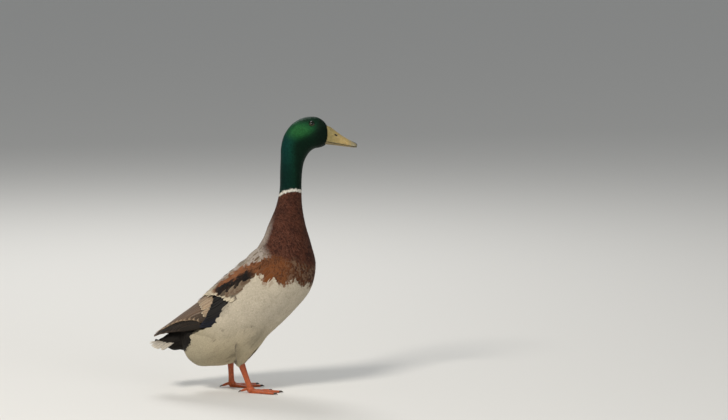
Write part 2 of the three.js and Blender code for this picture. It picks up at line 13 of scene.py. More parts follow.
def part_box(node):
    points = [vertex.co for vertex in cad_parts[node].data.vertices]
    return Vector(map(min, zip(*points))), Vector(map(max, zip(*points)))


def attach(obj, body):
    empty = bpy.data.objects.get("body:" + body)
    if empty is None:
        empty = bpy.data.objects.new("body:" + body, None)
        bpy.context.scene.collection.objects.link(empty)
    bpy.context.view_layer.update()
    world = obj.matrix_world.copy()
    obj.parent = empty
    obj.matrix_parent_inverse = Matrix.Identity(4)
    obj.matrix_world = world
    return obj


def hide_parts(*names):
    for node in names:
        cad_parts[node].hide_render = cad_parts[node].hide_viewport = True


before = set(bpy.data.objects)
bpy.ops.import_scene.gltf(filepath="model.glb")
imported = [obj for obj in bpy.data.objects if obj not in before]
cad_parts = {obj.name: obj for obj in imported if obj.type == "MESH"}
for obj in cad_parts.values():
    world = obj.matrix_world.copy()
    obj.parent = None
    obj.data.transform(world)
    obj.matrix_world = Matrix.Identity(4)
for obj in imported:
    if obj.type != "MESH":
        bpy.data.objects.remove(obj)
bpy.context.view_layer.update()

MM = 0.001
SEED = 7
# the solids' own stations are written in millimetres and stand this far along X
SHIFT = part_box("head")[1].x / MM - 137.5

# camera, as the photograph sees the bird
PHOTO_WIDTH = 728
PHOTO_HEIGHT = 420
MM_PER_PIXEL = 1.85
BIRD_PIXEL = (253, 391)  # where the bird's origin shows
CAMERA_RISE = math.radians(7)
CAMERA_AWAY = 6.0
SENSOR = 36.0

# the body from rump to bill: back x, z, underside x, z, half the width, where it is widest
BODY = [
    (-132, 130, -133, 78, 22, 0.5),
    (-117, 149, -120, 57, 40, 0.48),
    (-95, 163, -97, 46, 52, 0.47),
    (-73, 182.5, -61, 57, 58.5, 0.47),
    (-49.5, 204.5, -25, 71, 61, 0.48),
    (-26, 227, 7, 90, 61, 0.48),
    (-6.5, 247, 38, 115, 60, 0.48),
    (8, 269, 72, 148, 58, 0.47),
    (19, 288, 104, 188, 53, 0.46),
    (26, 307, 114.5, 233, 45.5, 0.46),
    (33, 323, 106.5, 272, 37, 0.47),
    (40, 340, 96, 309, 29.5, 0.48),
    (45.5, 360, 90, 342, 23.5, 0.5),
    (48.5, 379, 88.5, 373, 20.5, 0.5),
    (49, 407, 89.5, 405, 19.5, 0.5),
    (50, 433, 93.5, 427.5, 19.5, 0.5),
    (51, 455, 102.5, 444, 20.8, 0.5),
    (57, 477, 112, 451.5, 22.3, 0.49),
    (71, 496.5, 121, 453.5, 22.8, 0.46),
    (91.5, 508.5, 127.5, 455.5, 21.5, 0.43),
    (113.5, 510.5, 132, 458, 18.6, 0.42),
    (128.5, 503.5, 135.5, 461.5, 15, 0.42),
    (137, 492.5, 137.5, 465.5, 11.4, 0.45),
]
# the sheet that the folded wings lie in, from past their tips to the shoulders
MANTLE = [
    (-196, 96, -184, 78, 9, 0.5),
    (-179, 109, -164, 88, 17, 0.5),
    (-158, 124.5, -139, 94, 27, 0.5),
    (-138, 140, -117, 95, 38, 0.5),
    (-117, 156, -100, 87, 48, 0.5),
    (-96, 173, -80, 74, 57.5, 0.5),
    (-75, 192.5, -60, 60, 62.5, 0.49),
    (-53, 213, -25, 71, 65, 0.48),
    (-31, 231, 7, 90, 65, 0.48),
    (-11, 249, 38, 115, 63.5, 0.48),
    (6, 268, 72, 148, 60, 0.47),
]
# the rump behind the body, down into the root of the tail
RUMP = [
    (-174, 95, -173, 88, 6, 0.5),
    (-163, 103, -163, 82, 14, 0.5),
    (-148, 114, -150, 76, 19.5, 0.5),
    (-133.4, 126, -134.4, 76, 20.5, 0.5),
    (-126, 133, -127, 68, 26, 0.5),
]
TAIL_ROOT = (-128, 0, 104)
TAIL_PITCH = math.radians(12)
DROOP = 0.0135  # how fast the fan of the tail curves down at its sides, per millimetre

WORDS = {1: "left", -1: "right"}  # the word for each side, as Y runs

EYE_RADIUS = 6.2
EYE_AT = (108.3, 499)
EYE_SUNK = 0.62
EYE_OPENING = (4.7, 3.0)
EYE_LEVEL = 0.55
EYE_CLEARING = 5.6  # no feather starts nearer than this to the eye


def linear(hex_colour):
    """An sRGB hex colour as the linear values that Blender's shaders use."""
    parts = [int(hex_colour[i : i + 2], 16) / 255 for i in (1, 3, 5)]
    return tuple(c / 12.92 if c <= 0.04045 else ((c + 0.055) / 1.055) ** 2.4 for c in parts)


def smooth(low, high, value):
    """0 below low, 1 above high, with an eased step between; low may be the larger."""
    t = np.clip((value - low) / (high - low), 0, 1)
    return t * t * (3 - 2 * t)


def mixed(a, b, share):
    """Colour a turned towards colour b by a share for each row."""
    share = np.asarray(share)[..., None]
    return np.asarray(a) * (1 - share) + np.asarray(b) * share


# forms


def along_stations(values, t):
    """A smooth curve through evenly counted stations, read at t; past either end it runs on straight."""
    values = np.asarray(values, float)
    before = 2 * values[:1] - values[1:2]
    after = 2 * values[-1:] - values[-2:-1]
    padded = np.concatenate([before, values, after])
    t = np.asarray(t, float)
    inside = np.clip(t, 0, len(values) - 1 - 1e-9)
    i = inside.astype(int)
    f = (inside - i)[..., None]
    p0, p1, p2, p3 = (padded[i + k] for k in range(4))
    t0 = 0.5 * (p2 - p0)
    t1 = 0.5 * (p3 - p1)
    cubic = 2 * p1 - 2 * p2 + t0 + t1
    square = -3 * p1 + 3 * p2 - 2 * t0 - t1
    slope = 3 * cubic * f**2 + 2 * square * f + t0
    return cubic * f**3 + square * f**2 + t0 * f + p1 + slope * (t - inside)[..., None]


class Form:
    """A lofted body form, read by row and by the angle round from the back."""

    tailward = -1

    def __init__(self, rows):
        self.rows = np.array(rows, float)
        self.last = len(rows) - 1

    def point(self, row, angle, grow=0.0):
        row, angle, grow = np.broadcast_arrays(row, angle, grow)
        made = along_stations(self.rows, row)
        back, under = made[..., 0:2], made[..., 2:4]
        width, widest = made[..., 4], made[..., 5:6]
        centre = under + (back - under) * widest
        up = np.where((np.cos(angle) >= 0)[..., None], back, under) - centre
        size = np.linalg.norm(up, axis=-1)
        reach = (size + grow) * np.abs(np.cos(angle))
        place = centre + up / size[..., None] * reach[..., None]
        side = (width + grow) * np.sin(angle)
        return np.stack([place[..., 0] + SHIFT, side, place[..., 1]], axis=-1) * MM


class Limb:
    """A thigh: round sections along a curve, each with its own fore and side radius."""

    tailward = 1

    def __init__(self, points, radii):
        self.points = np.array(points, float)
        self.radii = np.array(radii, float)
        self.last = len(points) - 1

    def point(self, row, angle, grow=0.0):
        row, angle, grow = np.broadcast_arrays(row, angle, grow)
        centre = along_stations(self.points, row)
        ahead = along_stations(self.points, row + 0.01) - along_stations(self.points, row - 0.01)
        axis = ahead / np.linalg.norm(ahead, axis=-1, keepdims=True)
        side = np.array([0.0, 1.0, 0.0]) - axis * axis[..., 1:2]
        side /= np.linalg.norm(side, axis=-1, keepdims=True)
        fore = np.cross(side, axis)
        radii = along_stations(self.radii, row * (len(self.radii) - 1) / self.last)
        made = centre + fore * ((radii[..., 0] + grow) * np.cos(angle))[..., None]
        made = made + side * ((radii[..., 1] + grow) * np.sin(angle))[..., None]
        return (made + np.array([SHIFT, 0, 0])) * MM


def frame_on(form, row, angle, grow=0.0):
    """A point of a form, unit ways down the lie, round it and out of it, metres per row and radian."""
    step = 0.01
    here = form.point(row, angle, grow)
    along = (form.point(row + step, angle, grow) - form.point(row - step, angle, grow)) / (2 * step)
    round_ = (form.point(row, angle + step, grow) - form.point(row, angle - step, grow)) / (2 * step)
    per_row = np.maximum(np.linalg.norm(along, axis=-1), 1e-6)
    per_turn = np.maximum(np.linalg.norm(round_, axis=-1), 1e-6)
    along = along / per_row[..., None] * form.tailward
    round_ = round_ / per_turn[..., None]
    normal = np.cross(round_, along)
    normal /= np.maximum(np.linalg.norm(normal, axis=-1, keepdims=True), 1e-9)
    return here, along, round_, normal, per_row, per_turn


body = Form(BODY)
mantle = Form(MANTLE)
rump = Form(RUMP)


# feathers


def stations(sections):
    """Where the sections of a vane lie between quill and tip, closer together towards the round tip."""
    return 1 - (1 - np.linspace(0, 1, sections)) ** 1.6


def vane_width(v, blunt=0.55, quill=0.3):
    """Half the width of a vane, as a share of its greatest, from quill to tip."""
    base = quill + (1 - quill) * np.sin(np.pi / 2 * np.minimum(1, v / 0.4))
    past = np.clip((v - blunt) / (1 - blunt), 0, 1)
    return base * np.sqrt(np.clip(1 - past**2.2, 0, 1))


def flow(form, row, angle, yaw, length, sections, depth, lift, curl=1.0):
    """Spines of many vanes that follow a form towards the tail, from below its surface to above it.

    Returns points, side directions and normals, each (vanes, sections, 3), in metres.
    """
    spines, sides, normals = [], [], []
    r, a = np.array(row, float), np.array(angle, float)
    places = stations(sections)
    for j, v in enumerate(places):
        if j:
            stride = length * MM * (v - places[j - 1])
            _, _, _, _, per_row, per_turn = frame_on(form, r, a)
            r = r + form.tailward * stride * np.cos(yaw) / per_row
            a = a + stride * np.sin(yaw) / per_turn
        here, along, round_, normal, _, _ = frame_on(form, r, a)
        rise = (-depth + (lift + depth) * v**curl) * MM
        spines.append(here + normal * rise[..., None])
        side = round_ * np.cos(yaw)[..., None] - along * np.sin(yaw)[..., None]
        sides.append(side)
        normals.append(normal)
    return np.stack(spines, 1), np.stack(sides, 1), np.stack(normals, 1)


def feathers(
    name, spines, sides, normals, widths, tint, fringe, roots,
    blunt=0.55, cup=0.1, across=3, twist=None, thick=0.0, fray=0.0, soft=False,
):
    """One mesh of many vanes, with their colours, their own vane map and the OFBake map of their roots.

    Colours are (vanes, 3) or, where they change along a vane, (vanes, sections, 3). A thickness in
    millimetres closes each vane into a thin shell. Fray roughens the tips, as a share of the last step.
    """
    count, sections, _ = spines.shape
    u = np.linspace(-1, 1, across)
    sheets = np.zeros(across)
    if thick:
        u = np.concatenate([u, u[-2:0:-1]])
        sheets = np.concatenate([sheets, 1 - u[across:] ** 2])
    v = stations(sections)
    share = vane_width(v, blunt)
    share[-1] = 0.1
    half = (widths[:, None] / 2 * MM) * share[None, :]
    place = spines[:, :, None, :] + sides[:, :, None, :] * (u[None, None, :] * half[:, :, None])[..., None]
    sag = cup * half[:, :, None] * (u[None, None, :] ** 2) + sheets[None, None, :] * thick * MM
    if twist is not None:
        sag = sag - twist[:, None, None] * half[:, :, None] * u[None, None, :]
    place = place - normals[:, :, None, :] * sag[..., None]
    corners = len(u)
    if fray:
        ragged = np.random.default_rng(count).uniform(-1, 0.6, (count, 1, corners, 1)) * fray
        tip = (spines[:, -1] - spines[:, -2])[:, None, None, :]
        place[:, -1:] += tip * ragged
        place[:, -2:-1] += tip * ragged * 0.5
    base = (np.arange(count) * sections * corners)[:, None, None]
    j = np.arange(sections - 1)[None, :, None] * corners
    here = np.arange(corners if thick else corners - 1)[None, None, :]
    after = (here + 1) % corners
    low, high = base + j, base + j + corners
    quads = np.stack([low + here, low + after, high + after, high + here], -1).reshape(-1, 4)
    tris = np.zeros((0, 3), int)
    if thick:
        end = (sections - 1) * corners
        top = np.arange(across - 1)
        below = (corners - top) % corners
        flat = np.stack([top[1:-1], top[1:-1] + 1, below[1:-1] - 1, below[1:-1]], -1)
        caps = np.concatenate([flat[:, ::-1], flat + end])
        quads = np.concatenate([quads, (base + caps[None]).reshape(-1, 4)])
        last = across - 1
        tip = np.array([[0, 1, corners - 1], [last - 1, last, last + 1]])
        tip = np.concatenate([tip[:, ::-1], tip + end])
        tris = (base + tip[None]).reshape(-1, 3)
    piece = joined_mesh(name, place.reshape(-1, 3), quads, tris, tint, fringe, roots, u, v, count)
    if soft:
        # the coat is shaded mostly as the body under it, as down and barbs scatter the light
        shade = normals[:, :, None, :] + sides[:, :, None, :] * (u * 0.1)[None, None, :, None]
        shade = shade / np.linalg.norm(shade, axis=-1, keepdims=True)
        piece.data.normals_split_custom_set_from_vertices(shade.reshape(-1, 3).astype(np.float32))
    return piece


def joined_mesh(name, verts, quads, tris, tint, fringe, roots, u, v, count):
    loops = np.concatenate([quads.ravel(), tris.ravel()])
    totals = np.concatenate([np.full(len(quads), 4), np.full(len(tris), 3)]).astype(np.int32)
    mesh = bpy.data.meshes.new(name)
    mesh.vertices.add(len(verts))
    mesh.vertices.foreach_set("co", verts.astype(np.float32).ravel())
    mesh.loops.add(len(loops))
    mesh.loops.foreach_set("vertex_index", loops.astype(np.int32))
    mesh.polygons.add(len(totals))
    mesh.polygons.foreach_set("loop_start", (np.cumsum(totals) - totals).astype(np.int32))
    mesh.polygons.foreach_set("loop_total", totals)
    mesh.update(calc_edges=True)
    sections, corners = len(v), len(u)
    grid_u = np.tile(np.tile(u, sections), count)
    grid_v = np.tile(np.repeat(v, corners), count)
    for label, colours in (("tint", tint), ("fringe", fringe)):
        colours = np.asarray(colours, np.float32)
        if colours.ndim == 2:
            colours = np.repeat(colours[:, None, :], sections, axis=1)
        flat = np.ones((len(verts), 4), np.float32)
        flat[:, :3] = np.repeat(colours.reshape(-1, 3), corners, axis=0)
        mesh.attributes.new(label, "FLOAT_COLOR", "POINT").data.foreach_set("color", flat.ravel())
    vane_map = np.stack([grid_u * 0.5 + 0.5, grid_v], -1)[loops]
    patch = 0.003
    root_map = np.repeat(roots, sections * corners, axis=0)
    bake_map = root_map + np.stack([grid_u * 0.5, grid_v - 0.5], -1) * patch
    for label, values in (("OFBake", bake_map[loops]), ("vane", vane_map)):
        layer = mesh.uv_layers.new(name=label)
        layer.data.foreach_set("uv", values.astype(np.float32).ravel())
    mesh.shade_smooth()
    piece = bpy.data.objects.new(name, mesh)
    bpy.context.collection.objects.link(piece)
    return piece


def scattered(form, rows, angles, spacing, rng, jitter=0.35):
    """Roots in staggered rows over a form, in ranges of row and angle; spacing is (down, round) in mm."""
    found = []
    row = rows[0]
    odd = 0
    down, round_ = spacing if isinstance(spacing, tuple) else (spacing, spacing)
    while row < rows[1]:
        size = max(4, int(abs(angles[1] - angles[0]) / (2 * math.pi) * 64))
        probe = np.linspace(angles[0], angles[1], size + 1)
        ring = form.point(row, probe)
        arc = np.concatenate([[0], np.cumsum(np.linalg.norm(np.diff(ring, axis=0), axis=1))]) / MM
        count = max(3, int(arc[-1] / round_))
        at = (np.arange(count) + 0.5 * odd + 0.25) / count * arc[-1]
        at = at + rng.uniform(-jitter, jitter, count) * round_
        angle = np.interp(np.clip(at, 0, arc[-1]), arc, probe)
        _, _, _, _, per_row, _ = frame_on(form, np.full(count, row), angle)
        step = down * MM / max(np.median(per_row), 1e-5)
        found.append(np.stack([row + rng.uniform(-jitter, jitter, count) * step, angle], 1))
        row += step
        odd = 1 - odd
    return np.concatenate(found)


# colours, named for the part of the bird that shows them

HEAD_GREEN = linear("#0f3a26")
# painted sheen: the teal that the iridescent green head shows behind
HEAD_SHEEN_TEAL = linear("#0c3634")
HEAD_DARK = linear("#171f18")
# a painted highlight on the cheek
CHEEK_HIGHLIGHT_GREEN = linear("#205329")
# painted shade under the head and low on the neck
NECK_SHADE_DARK = linear("#08160f")
RING_WHITE = linear("#d8d3c6")
CLARET = linear("#4f2c1e")
CLARET_DEEP = linear("#341a11")
CLARET_TIP = linear("#7a5240")
RUST = linear("#83502f")
BREAST_RUST = linear("#70401f")
RUST_DARK = linear("#4a2814")
BREAST_BROWN = linear("#6b5543")
BUFF_GREY = linear("#8f8470")
LILAC_GREY = linear("#a59a90")
SILVER = linear("#b9ae9a")
CREAM = linear("#a89a7a")
VENT_CREAM = linear("#aa9f86")
COVERT_BLACK = linear("#0d0b0a")
SOOT = linear("#221d18")
TERTIAL_BROWN = linear("#64503f")
TERTIAL_PALE = linear("#a18a70")
WING_GREY = linear("#6d6152")
WING_BAR = linear("#cbbda2")
TAIL_GREY = linear("#6b5a4c")
TAIL_WHITE = linear("#cdc3b2")
SPECULUM = linear("#13110f")
# painted blue sheen along the speculum's lowest edge
SPECULUM_SHEEN_BLUE = linear("#1b2846")


def side_view(points):
    """Where points show from the bird's side, in millimetres forward and up."""
    x = points[..., 0] / MM
    up = points[..., 2] / MM * math.cos(CAMERA_RISE)
    return x, up - np.abs(points[..., 1]) / MM * math.sin(CAMERA_RISE)


def patchy(points, size):
    """Soft repeatable blotches between 0 and 1, about size millimetres across."""
    p = points / (size * MM)
    a = np.sin(p[..., 0] * 1.7 + 1.3 * np.sin(p[..., 2] * 1.1 + 0.4))
    b = np.sin(p[..., 2] * 2.1 + 1.1 * np.sin(p[..., 0] * 1.6 + p[..., 1] * 1.9))
    c = np.sin((p[..., 0] + p[..., 1] - p[..., 2]) * 1.3 + 2.0)
    return np.clip(0.5 + 0.2 * (a + b + c), 0, 1)


RING_X = (48, 58, 70, 80, 91)
RING_UP = (362, 367.5, 371.5, 371, 369.5)
CLARET_X = (-10, 9, 30, 55, 80, 116)
CLARET_UP = (272, 259, 251, 246, 240, 228)
RUST_X = (-10, 6, 12, 22, 41, 55, 68, 90, 116)
RUST_UP = (238, 214, 210, 204, 192, 198, 203, 196, 190)
RUMP_X = (-175, -129, -118, -115, -106, -96, -80)
RUMP_UP = (60, 70, 84, 104, 112, 122, 146)
FLECKS = ((-55.5, 114.7), (-35, 105), (-70, 92.5), (-3.7, 118))

# the shoulder feathers lie in stripes that run down and back; this is the middle of the rust stripe,
# as its distance along the stripes from its end and its height over the straight line through both ends
STRIPE_END = (-74, 179.5)
STRIPE_WAY = (-0.852, -0.524)
RUST_ALONG = (-140, -113, -85.5, -65.8, -43.3, -18.8, 0, 20)
RUST_HEIGHT = (-8, 0, 8.3, 11.6, 10.3, 5.8, 0, -6)


def stripes(x, up):
    """Distance along the shoulder's stripes from the rust one's end, height over its middle, plain height."""
    across, rise = x - STRIPE_END[0], up - STRIPE_END[1]
    along = across * STRIPE_WAY[0] + rise * STRIPE_WAY[1]
    plain = across * STRIPE_WAY[1] - rise * STRIPE_WAY[0]
    return along, plain - np.interp(along, RUST_ALONG, RUST_HEIGHT), plain


def markings(points, angle, rng):
    """The bird's colours at points of its skin or the roots of its feathers: (feather, its fringe)."""
    x, up = side_view(points)
    blotch = patchy(points, 9)
    fine = rng.uniform(0, 1, x.shape)
    other = rng.uniform(0, 1, x.shape)
    dorsal = np.cos(angle)

    # pale silver flanks, warmer and darker low on the belly
    flank = mixed(SILVER, CREAM, smooth(150, 60, up) * 0.7)
    flank = mixed(flank, VENT_CREAM, smooth(-60, -110, x))
    flank = mixed(flank, BUFF_GREY, smooth(0.55, 1.0, other) * 0.22)
    flank = flank * (0.96 + 0.1 * blotch)[..., None]
    fringe = flank * 1.06

    # rust and pencilled lower breast, between the claret and the flank
    wander = (blotch - 0.5) * 10 + (fine - 0.5) * 9
    rust_edge = np.interp(x, RUST_X, RUST_UP) + wander
    in_rust = smooth(rust_edge - 4, rust_edge + 4, up)
    rust = mixed(BREAST_RUST, RUST_DARK, smooth(0.3, 0.8, 0.5 * blotch + 0.5 * fine) * 0.8)
    mottled = mixed(BREAST_BROWN, RUST_DARK, smooth(0.2, 0.7, other))
    mottled = mixed(mottled, CLARET_DEEP, smooth(0.6, 0.9, fine))
    rust = mixed(rust, mottled, smooth(52, 80, x) * 0.85)
    colour = mixed(flank, rust, in_rust)
    fringe = mixed(fringe, mixed(rust, BUFF_GREY, 0.14), in_rust)

    # claret neck and breast, freckled by paler tips
    claret_edge = np.interp(x, CLARET_X, CLARET_UP) + wander * 0.6
    in_claret = smooth(claret_edge - 6, claret_edge + 6, up)
    claret = mixed(CLARET, CLARET_DEEP, smooth(0.2, 0.8, 0.4 * blotch + 0.6 * fine))
    tips = mixed(claret * 1.1, CLARET_TIP, smooth(0.6, 0.95, other) * 0.85)
    colour = mixed(colour, claret, in_claret)
    fringe = mixed(fringe, tips, in_claret)

    # pale grey along the top of the back, widest at the shoulder, and dark between the wings
    along, over_rust, _ = stripes(x, up)
    pale = smooth(5, 9, over_rust + (fine - 0.5) * 4) * smooth(-135, -112, along)
    spine = smooth(0.82, 0.95, dorsal) * smooth(330, 285, up) * smooth(70, 55, x) * 0.75
    grey = np.maximum(pale, spine) * smooth(-80, -60, x)
    pencilled = mixed(LILAC_GREY, mixed(BUFF_GREY, SOOT, 0.5 * fine), smooth(0.4, 0.9, other))
    colour = mixed(colour, pencilled, grey)
    fringe = mixed(fringe, LILAC_GREY, grey)
    back = smooth(0.2, 0.6, dorsal) * smooth(-30, -60, x)
    colour = mixed(colour, SOOT, back)
    fringe = mixed(fringe, WING_GREY, back)

    # white ring, broken a little at the edges
    ring = np.interp(x, RING_X, RING_UP)
    off = up - ring + (fine - 0.5) * 1.6
    in_ring = smooth(-3.0, -2.0, off) * smooth(3.0, 2.2, off) * smooth(316, 330, up)
    above = smooth(2.2, 3.2, off)

    # green head and neck, dark in front: the teal behind is painted sheen, the bright cheek a painted
    # highlight, and the near black below painted shade
    green = mixed(HEAD_GREEN, HEAD_SHEEN_TEAL, smooth(88, 58, x) * 0.8)
    # painted highlight, brightest on the cheek
    cheek_highlight = smooth(34, 6, np.hypot((x - 88) * 0.8, (up - 480) * 1.5))
    green = mixed(green, CHEEK_HIGHLIGHT_GREEN, cheek_highlight * 0.85)
    face = smooth(108, 126, x)
    crown = smooth(492, 500, up) * smooth(70, 100, x)
    # painted shade: near black on the throat under the cheek and down the lower neck
    throat_shade = smooth(-12, -30, (up - 488) + (90 - x) * 0.55) * smooth(66, 84, x)
    green = mixed(green, HEAD_DARK, np.maximum(crown * 0.6, face * 0.85))
    green = mixed(green, NECK_SHADE_DARK, np.maximum(throat_shade * 0.85, smooth(455, 395, up) * 0.6))
    green = green * (0.8 + 0.4 * fine)[..., None]
    colour = mixed(colour, green, above)
    fringe = mixed(fringe, green * 1.2, above)
    ring_white = RING_WHITE * (0.9 + 0.1 * fine)[..., None]
    colour = mixed(colour, ring_white, in_ring)
    fringe = mixed(fringe, ring_white, in_ring)

    # black rump and under-tail coverts
    rump_edge = np.interp(x, RUMP_X, RUMP_UP) + (fine - 0.5) * 4
    in_rump = smooth(rump_edge - 3, rump_edge + 3, up) * smooth(-88, -98, x)
    in_rump = np.maximum(in_rump, smooth(-128, -133, x))
    black = mixed(COVERT_BLACK, SOOT, 0.6 * fine)
    colour = mixed(colour, black, in_rump)
    fringe = mixed(fringe, SOOT, in_rump)

    # a few small dark flecks on the flank
    for fleck_x, fleck_up in FLECKS:
        near = smooth(2.4, 1.2, np.hypot(x - fleck_x, up - fleck_up))
        colour = mixed(colour, SOOT, near * 0.35)
        fringe = mixed(fringe, SOOT, near * 0.5)
    return colour, fringe


def shoulder_markings(points, rng):
    """Colours along the scapulars: a pale crest, a rust stripe, a black one under it and grey-brown below."""
    x, up = side_view(points)
    shape = x.shape[:1] + (1,) * (x.ndim - 1)
    wander = rng.normal(0, 1.2, shape)
    fine = np.broadcast_to(rng.uniform(0, 1, shape), x.shape)
    other = np.broadcast_to(rng.uniform(0, 1, shape), x.shape)
    along, over_rust, plain = stripes(x, up)
    over_rust = over_rust + wander
    plain = plain + wander
    rust = mixed(RUST, RUST_DARK, smooth(0.3, 1.0, fine) * 0.7)
    colour = rust
    fringe = mixed(rust, BUFF_GREY, 0.1 + 0.2 * other)
    black = smooth(4.5, 1.5, plain) * smooth(-98, -74, along) * smooth(-3, -10, along)
    colour = mixed(colour, mixed(COVERT_BLACK, RUST_DARK, 0.25 * fine), black)
    fringe = mixed(fringe, SOOT, black)
    grey = smooth(-7.5, -11, plain)
    dusk = mixed(TERTIAL_BROWN, BUFF_GREY, 0.5 * fine)
    colour = mixed(colour, dusk, grey)
    fringe = mixed(fringe, mixed(dusk, TERTIAL_PALE, 0.35), grey)
    pale = smooth(3.5, 6.0, over_rust)
    crest = mixed(TERTIAL_BROWN, BUFF_GREY, smooth(0.0, 0.4, other))
    crest = mixed(crest, LILAC_GREY, smooth(0.3, 0.6, fine))
    colour = mixed(colour, crest, pale)
    fringe = mixed(fringe, LILAC_GREY, pale)
    bar = smooth(-8, 4, along) * smooth(-30, -22, plain)
    colour = mixed(colour, WING_BAR, bar * 0.6)
    fringe = mixed(fringe, WING_BAR, bar)
    return colour, fringe


# materials


class Surface:
    """A material, built as nodes from its colour out to its one surface."""

    def __init__(self, name):
        self.material = bpy.data.materials.new(name)
        self.material.use_nodes = True
        self.tree = self.material.node_tree
        self.tree.nodes.clear()

    def add(self, kind, inputs, **options):
        """Adds a node; each of its inputs takes a number, a colour or another node's output."""
        made = self.tree.nodes.new("ShaderNode" + kind)
        for key, value in options.items():
            setattr(made, key, value)
        for key, value in inputs.items():
            if isinstance(value, bpy.types.NodeSocket):
                self.tree.links.new(value, made.inputs[key])
            else:
                made.inputs[key].default_value = value
        return made.outputs

    def maths(self, operation, *values):
        return self.add("Math", dict(enumerate(values)), operation=operation)[0]

    def ranged(self, value, low, high, to_low=0.0, to_high=1.0):
        """A value carried from one range to another, and held inside it."""
        return self.add("MapRange", dict(enumerate((value, low, high, to_low, to_high))))[0]

    def mix(self, share, a, b, blend="MIX"):
        return self.add("Mix", {0: share, 6: a, 7: b}, data_type="RGBA", blend_type=blend)[2]

    def colour(self, label):
        """The piece's own colour, stored under a label."""
        return self.add("Attribute", {}, attribute_name=label)["Color"]

    def place(self):
        return self.add("TexCoord", {})["Object"]

    def noise(self, scale, detail):
        return self.add("TexNoise", {"Vector": self.place(), "Scale": scale, "Detail": detail})["Fac"]

    def bump(self, height, strength, distance):
        return self.add("Bump", {"Height": height, "Strength": strength, "Distance": distance})[0]

    def finished(self, colour, **settings):
        """The material, its one surface given a colour and settings with _ for each space in their names."""
        inputs = {key.replace("_", " "): value for key, value in settings.items()}
        shader = self.add("BsdfPrincipled", {"Base Color": colour, **inputs})
        self.add("OutputMaterial", {"Surface": shader[0]})
        return self.material


def feather_material(name, sheen_tint, barb_mm=1.1, shaft=0.0, length_mm=20, **settings):
    """Keratin vanes: matt with a soft sheen, a pale fringe, a shaft and fine slanting barbs."""
    s = Surface(name)
    across, along, _ = s.add("SeparateXYZ", {0: s.add("UVMap", {}, uv_map="vane")[0]})
    off_shaft = s.maths("ABSOLUTE", s.maths("SUBTRACT", across, 0.5))
    edge = s.maths("MAXIMUM", off_shaft, s.ranged(along, 0.74, 1.0, 0.0, 0.5))
    colour = s.mix(s.ranged(edge, 0.34, 0.47), s.colour("tint"), s.colour("fringe"))
    # barbs leave the shaft at a slant; they are drawn about 1 mm apart, coarser than life, to show
    lean = s.maths("SUBTRACT", along, s.maths("MULTIPLY", off_shaft, 0.55))
    barbs = s.maths("SINE", s.maths("MULTIPLY", lean, 2 * math.pi * length_mm / barb_mm))
    cloud = s.ranged(s.noise(420.0, 3.0), 0.25, 0.75, 0.86, 1.12)
    colour = s.mix(1.0, colour, s.maths("MULTIPLY_ADD", barbs, 0.05, cloud), "MULTIPLY")
    quill = s.ranged(off_shaft, 0.045, 0.02, 0.0, shaft)
    colour = s.mix(quill, colour, (*linear("#2a2018"), 1))
    return s.finished(
        colour, Normal=s.bump(barbs, 0.25, 0.0002), Sheen_Roughness=0.45,
        Sheen_Tint=(*linear(sheen_tint), 1), Coat_Roughness=0.35, **settings,
    )


def skin_material():
    """Down and feather bases under the coat: dull, in the coat's own colours."""
    s = Surface("feathered_skin")
    tuft = s.noise(600.0, 4.0)
    colour = s.mix(1.0, s.colour("tint"), s.ranged(tuft, 0.2, 0.8, 0.6, 0.95), "MULTIPLY")
    return s.finished(colour, Normal=s.bump(tuft, 0.5, 0.0006), Roughness=0.9, Specular_IOR_Level=0.1)


def horn_material(name, roughness, gloss):
    """Smooth horn: thin waxy gloss over fine growth mottling, coloured by the piece's own map."""
    s = Surface(name)
    mottle = s.noise(260.0, 5.0)
    colour = s.mix(1.0, s.colour("tint"), s.ranged(mottle, 0.3, 0.7, 0.82, 1.12), "MULTIPLY")
    return s.finished(
        colour, Normal=s.bump(mottle, 0.3, 0.00015), Coat_Weight=gloss, Coat_Roughness=0.2,
        Roughness=s.ranged(mottle, 0.3, 0.7, roughness - 0.06, roughness + 0.1),
        Subsurface_Weight=0.08, Subsurface_Radius=(0.004, 0.002, 0.001), Subsurface_Scale=1.0,
    )


def leg_material():
    """Scaly skin: small raised plates with darker creases, leathery and a little moist."""
    s = Surface("scaled_orange_skin")
    # plates about 1.6 mm across on the legs and toes
    plates = {"Vector": s.place(), "Scale": 620.0}
    crease = s.ranged(s.add("TexVoronoi", plates, feature="DISTANCE_TO_EDGE")["Distance"], 0.0, 0.16)
    colour = s.mix(1.0, s.colour("tint"), s.ranged(crease, 0.0, 1.0, 0.62, 1.05), "MULTIPLY")
    return s.finished(
        colour, Normal=s.bump(crease, 0.6, 0.0004), Roughness=0.42, Coat_Weight=0.15, Coat_Roughness=0.3,
        Subsurface_Weight=0.15, Subsurface_Radius=(0.004, 0.0015, 0.0008), Subsurface_Scale=1.0,
    )


def eye_material():
    """A wet eye: dark brown iris under a clear cornea with a sharp highlight."""
    s = Surface("wet_eye")
    return s.finished(
        s.colour("tint"), Roughness=0.15, Specular_IOR_Level=0.15,
        Coat_Weight=0.45, Coat_IOR=1.34, Coat_Roughness=0.02,
    )


def floor_material():
    """Matt pale studio paper."""
    return Surface("studio_paper").finished((*linear("#dcdad5"), 1), Roughness=0.9)


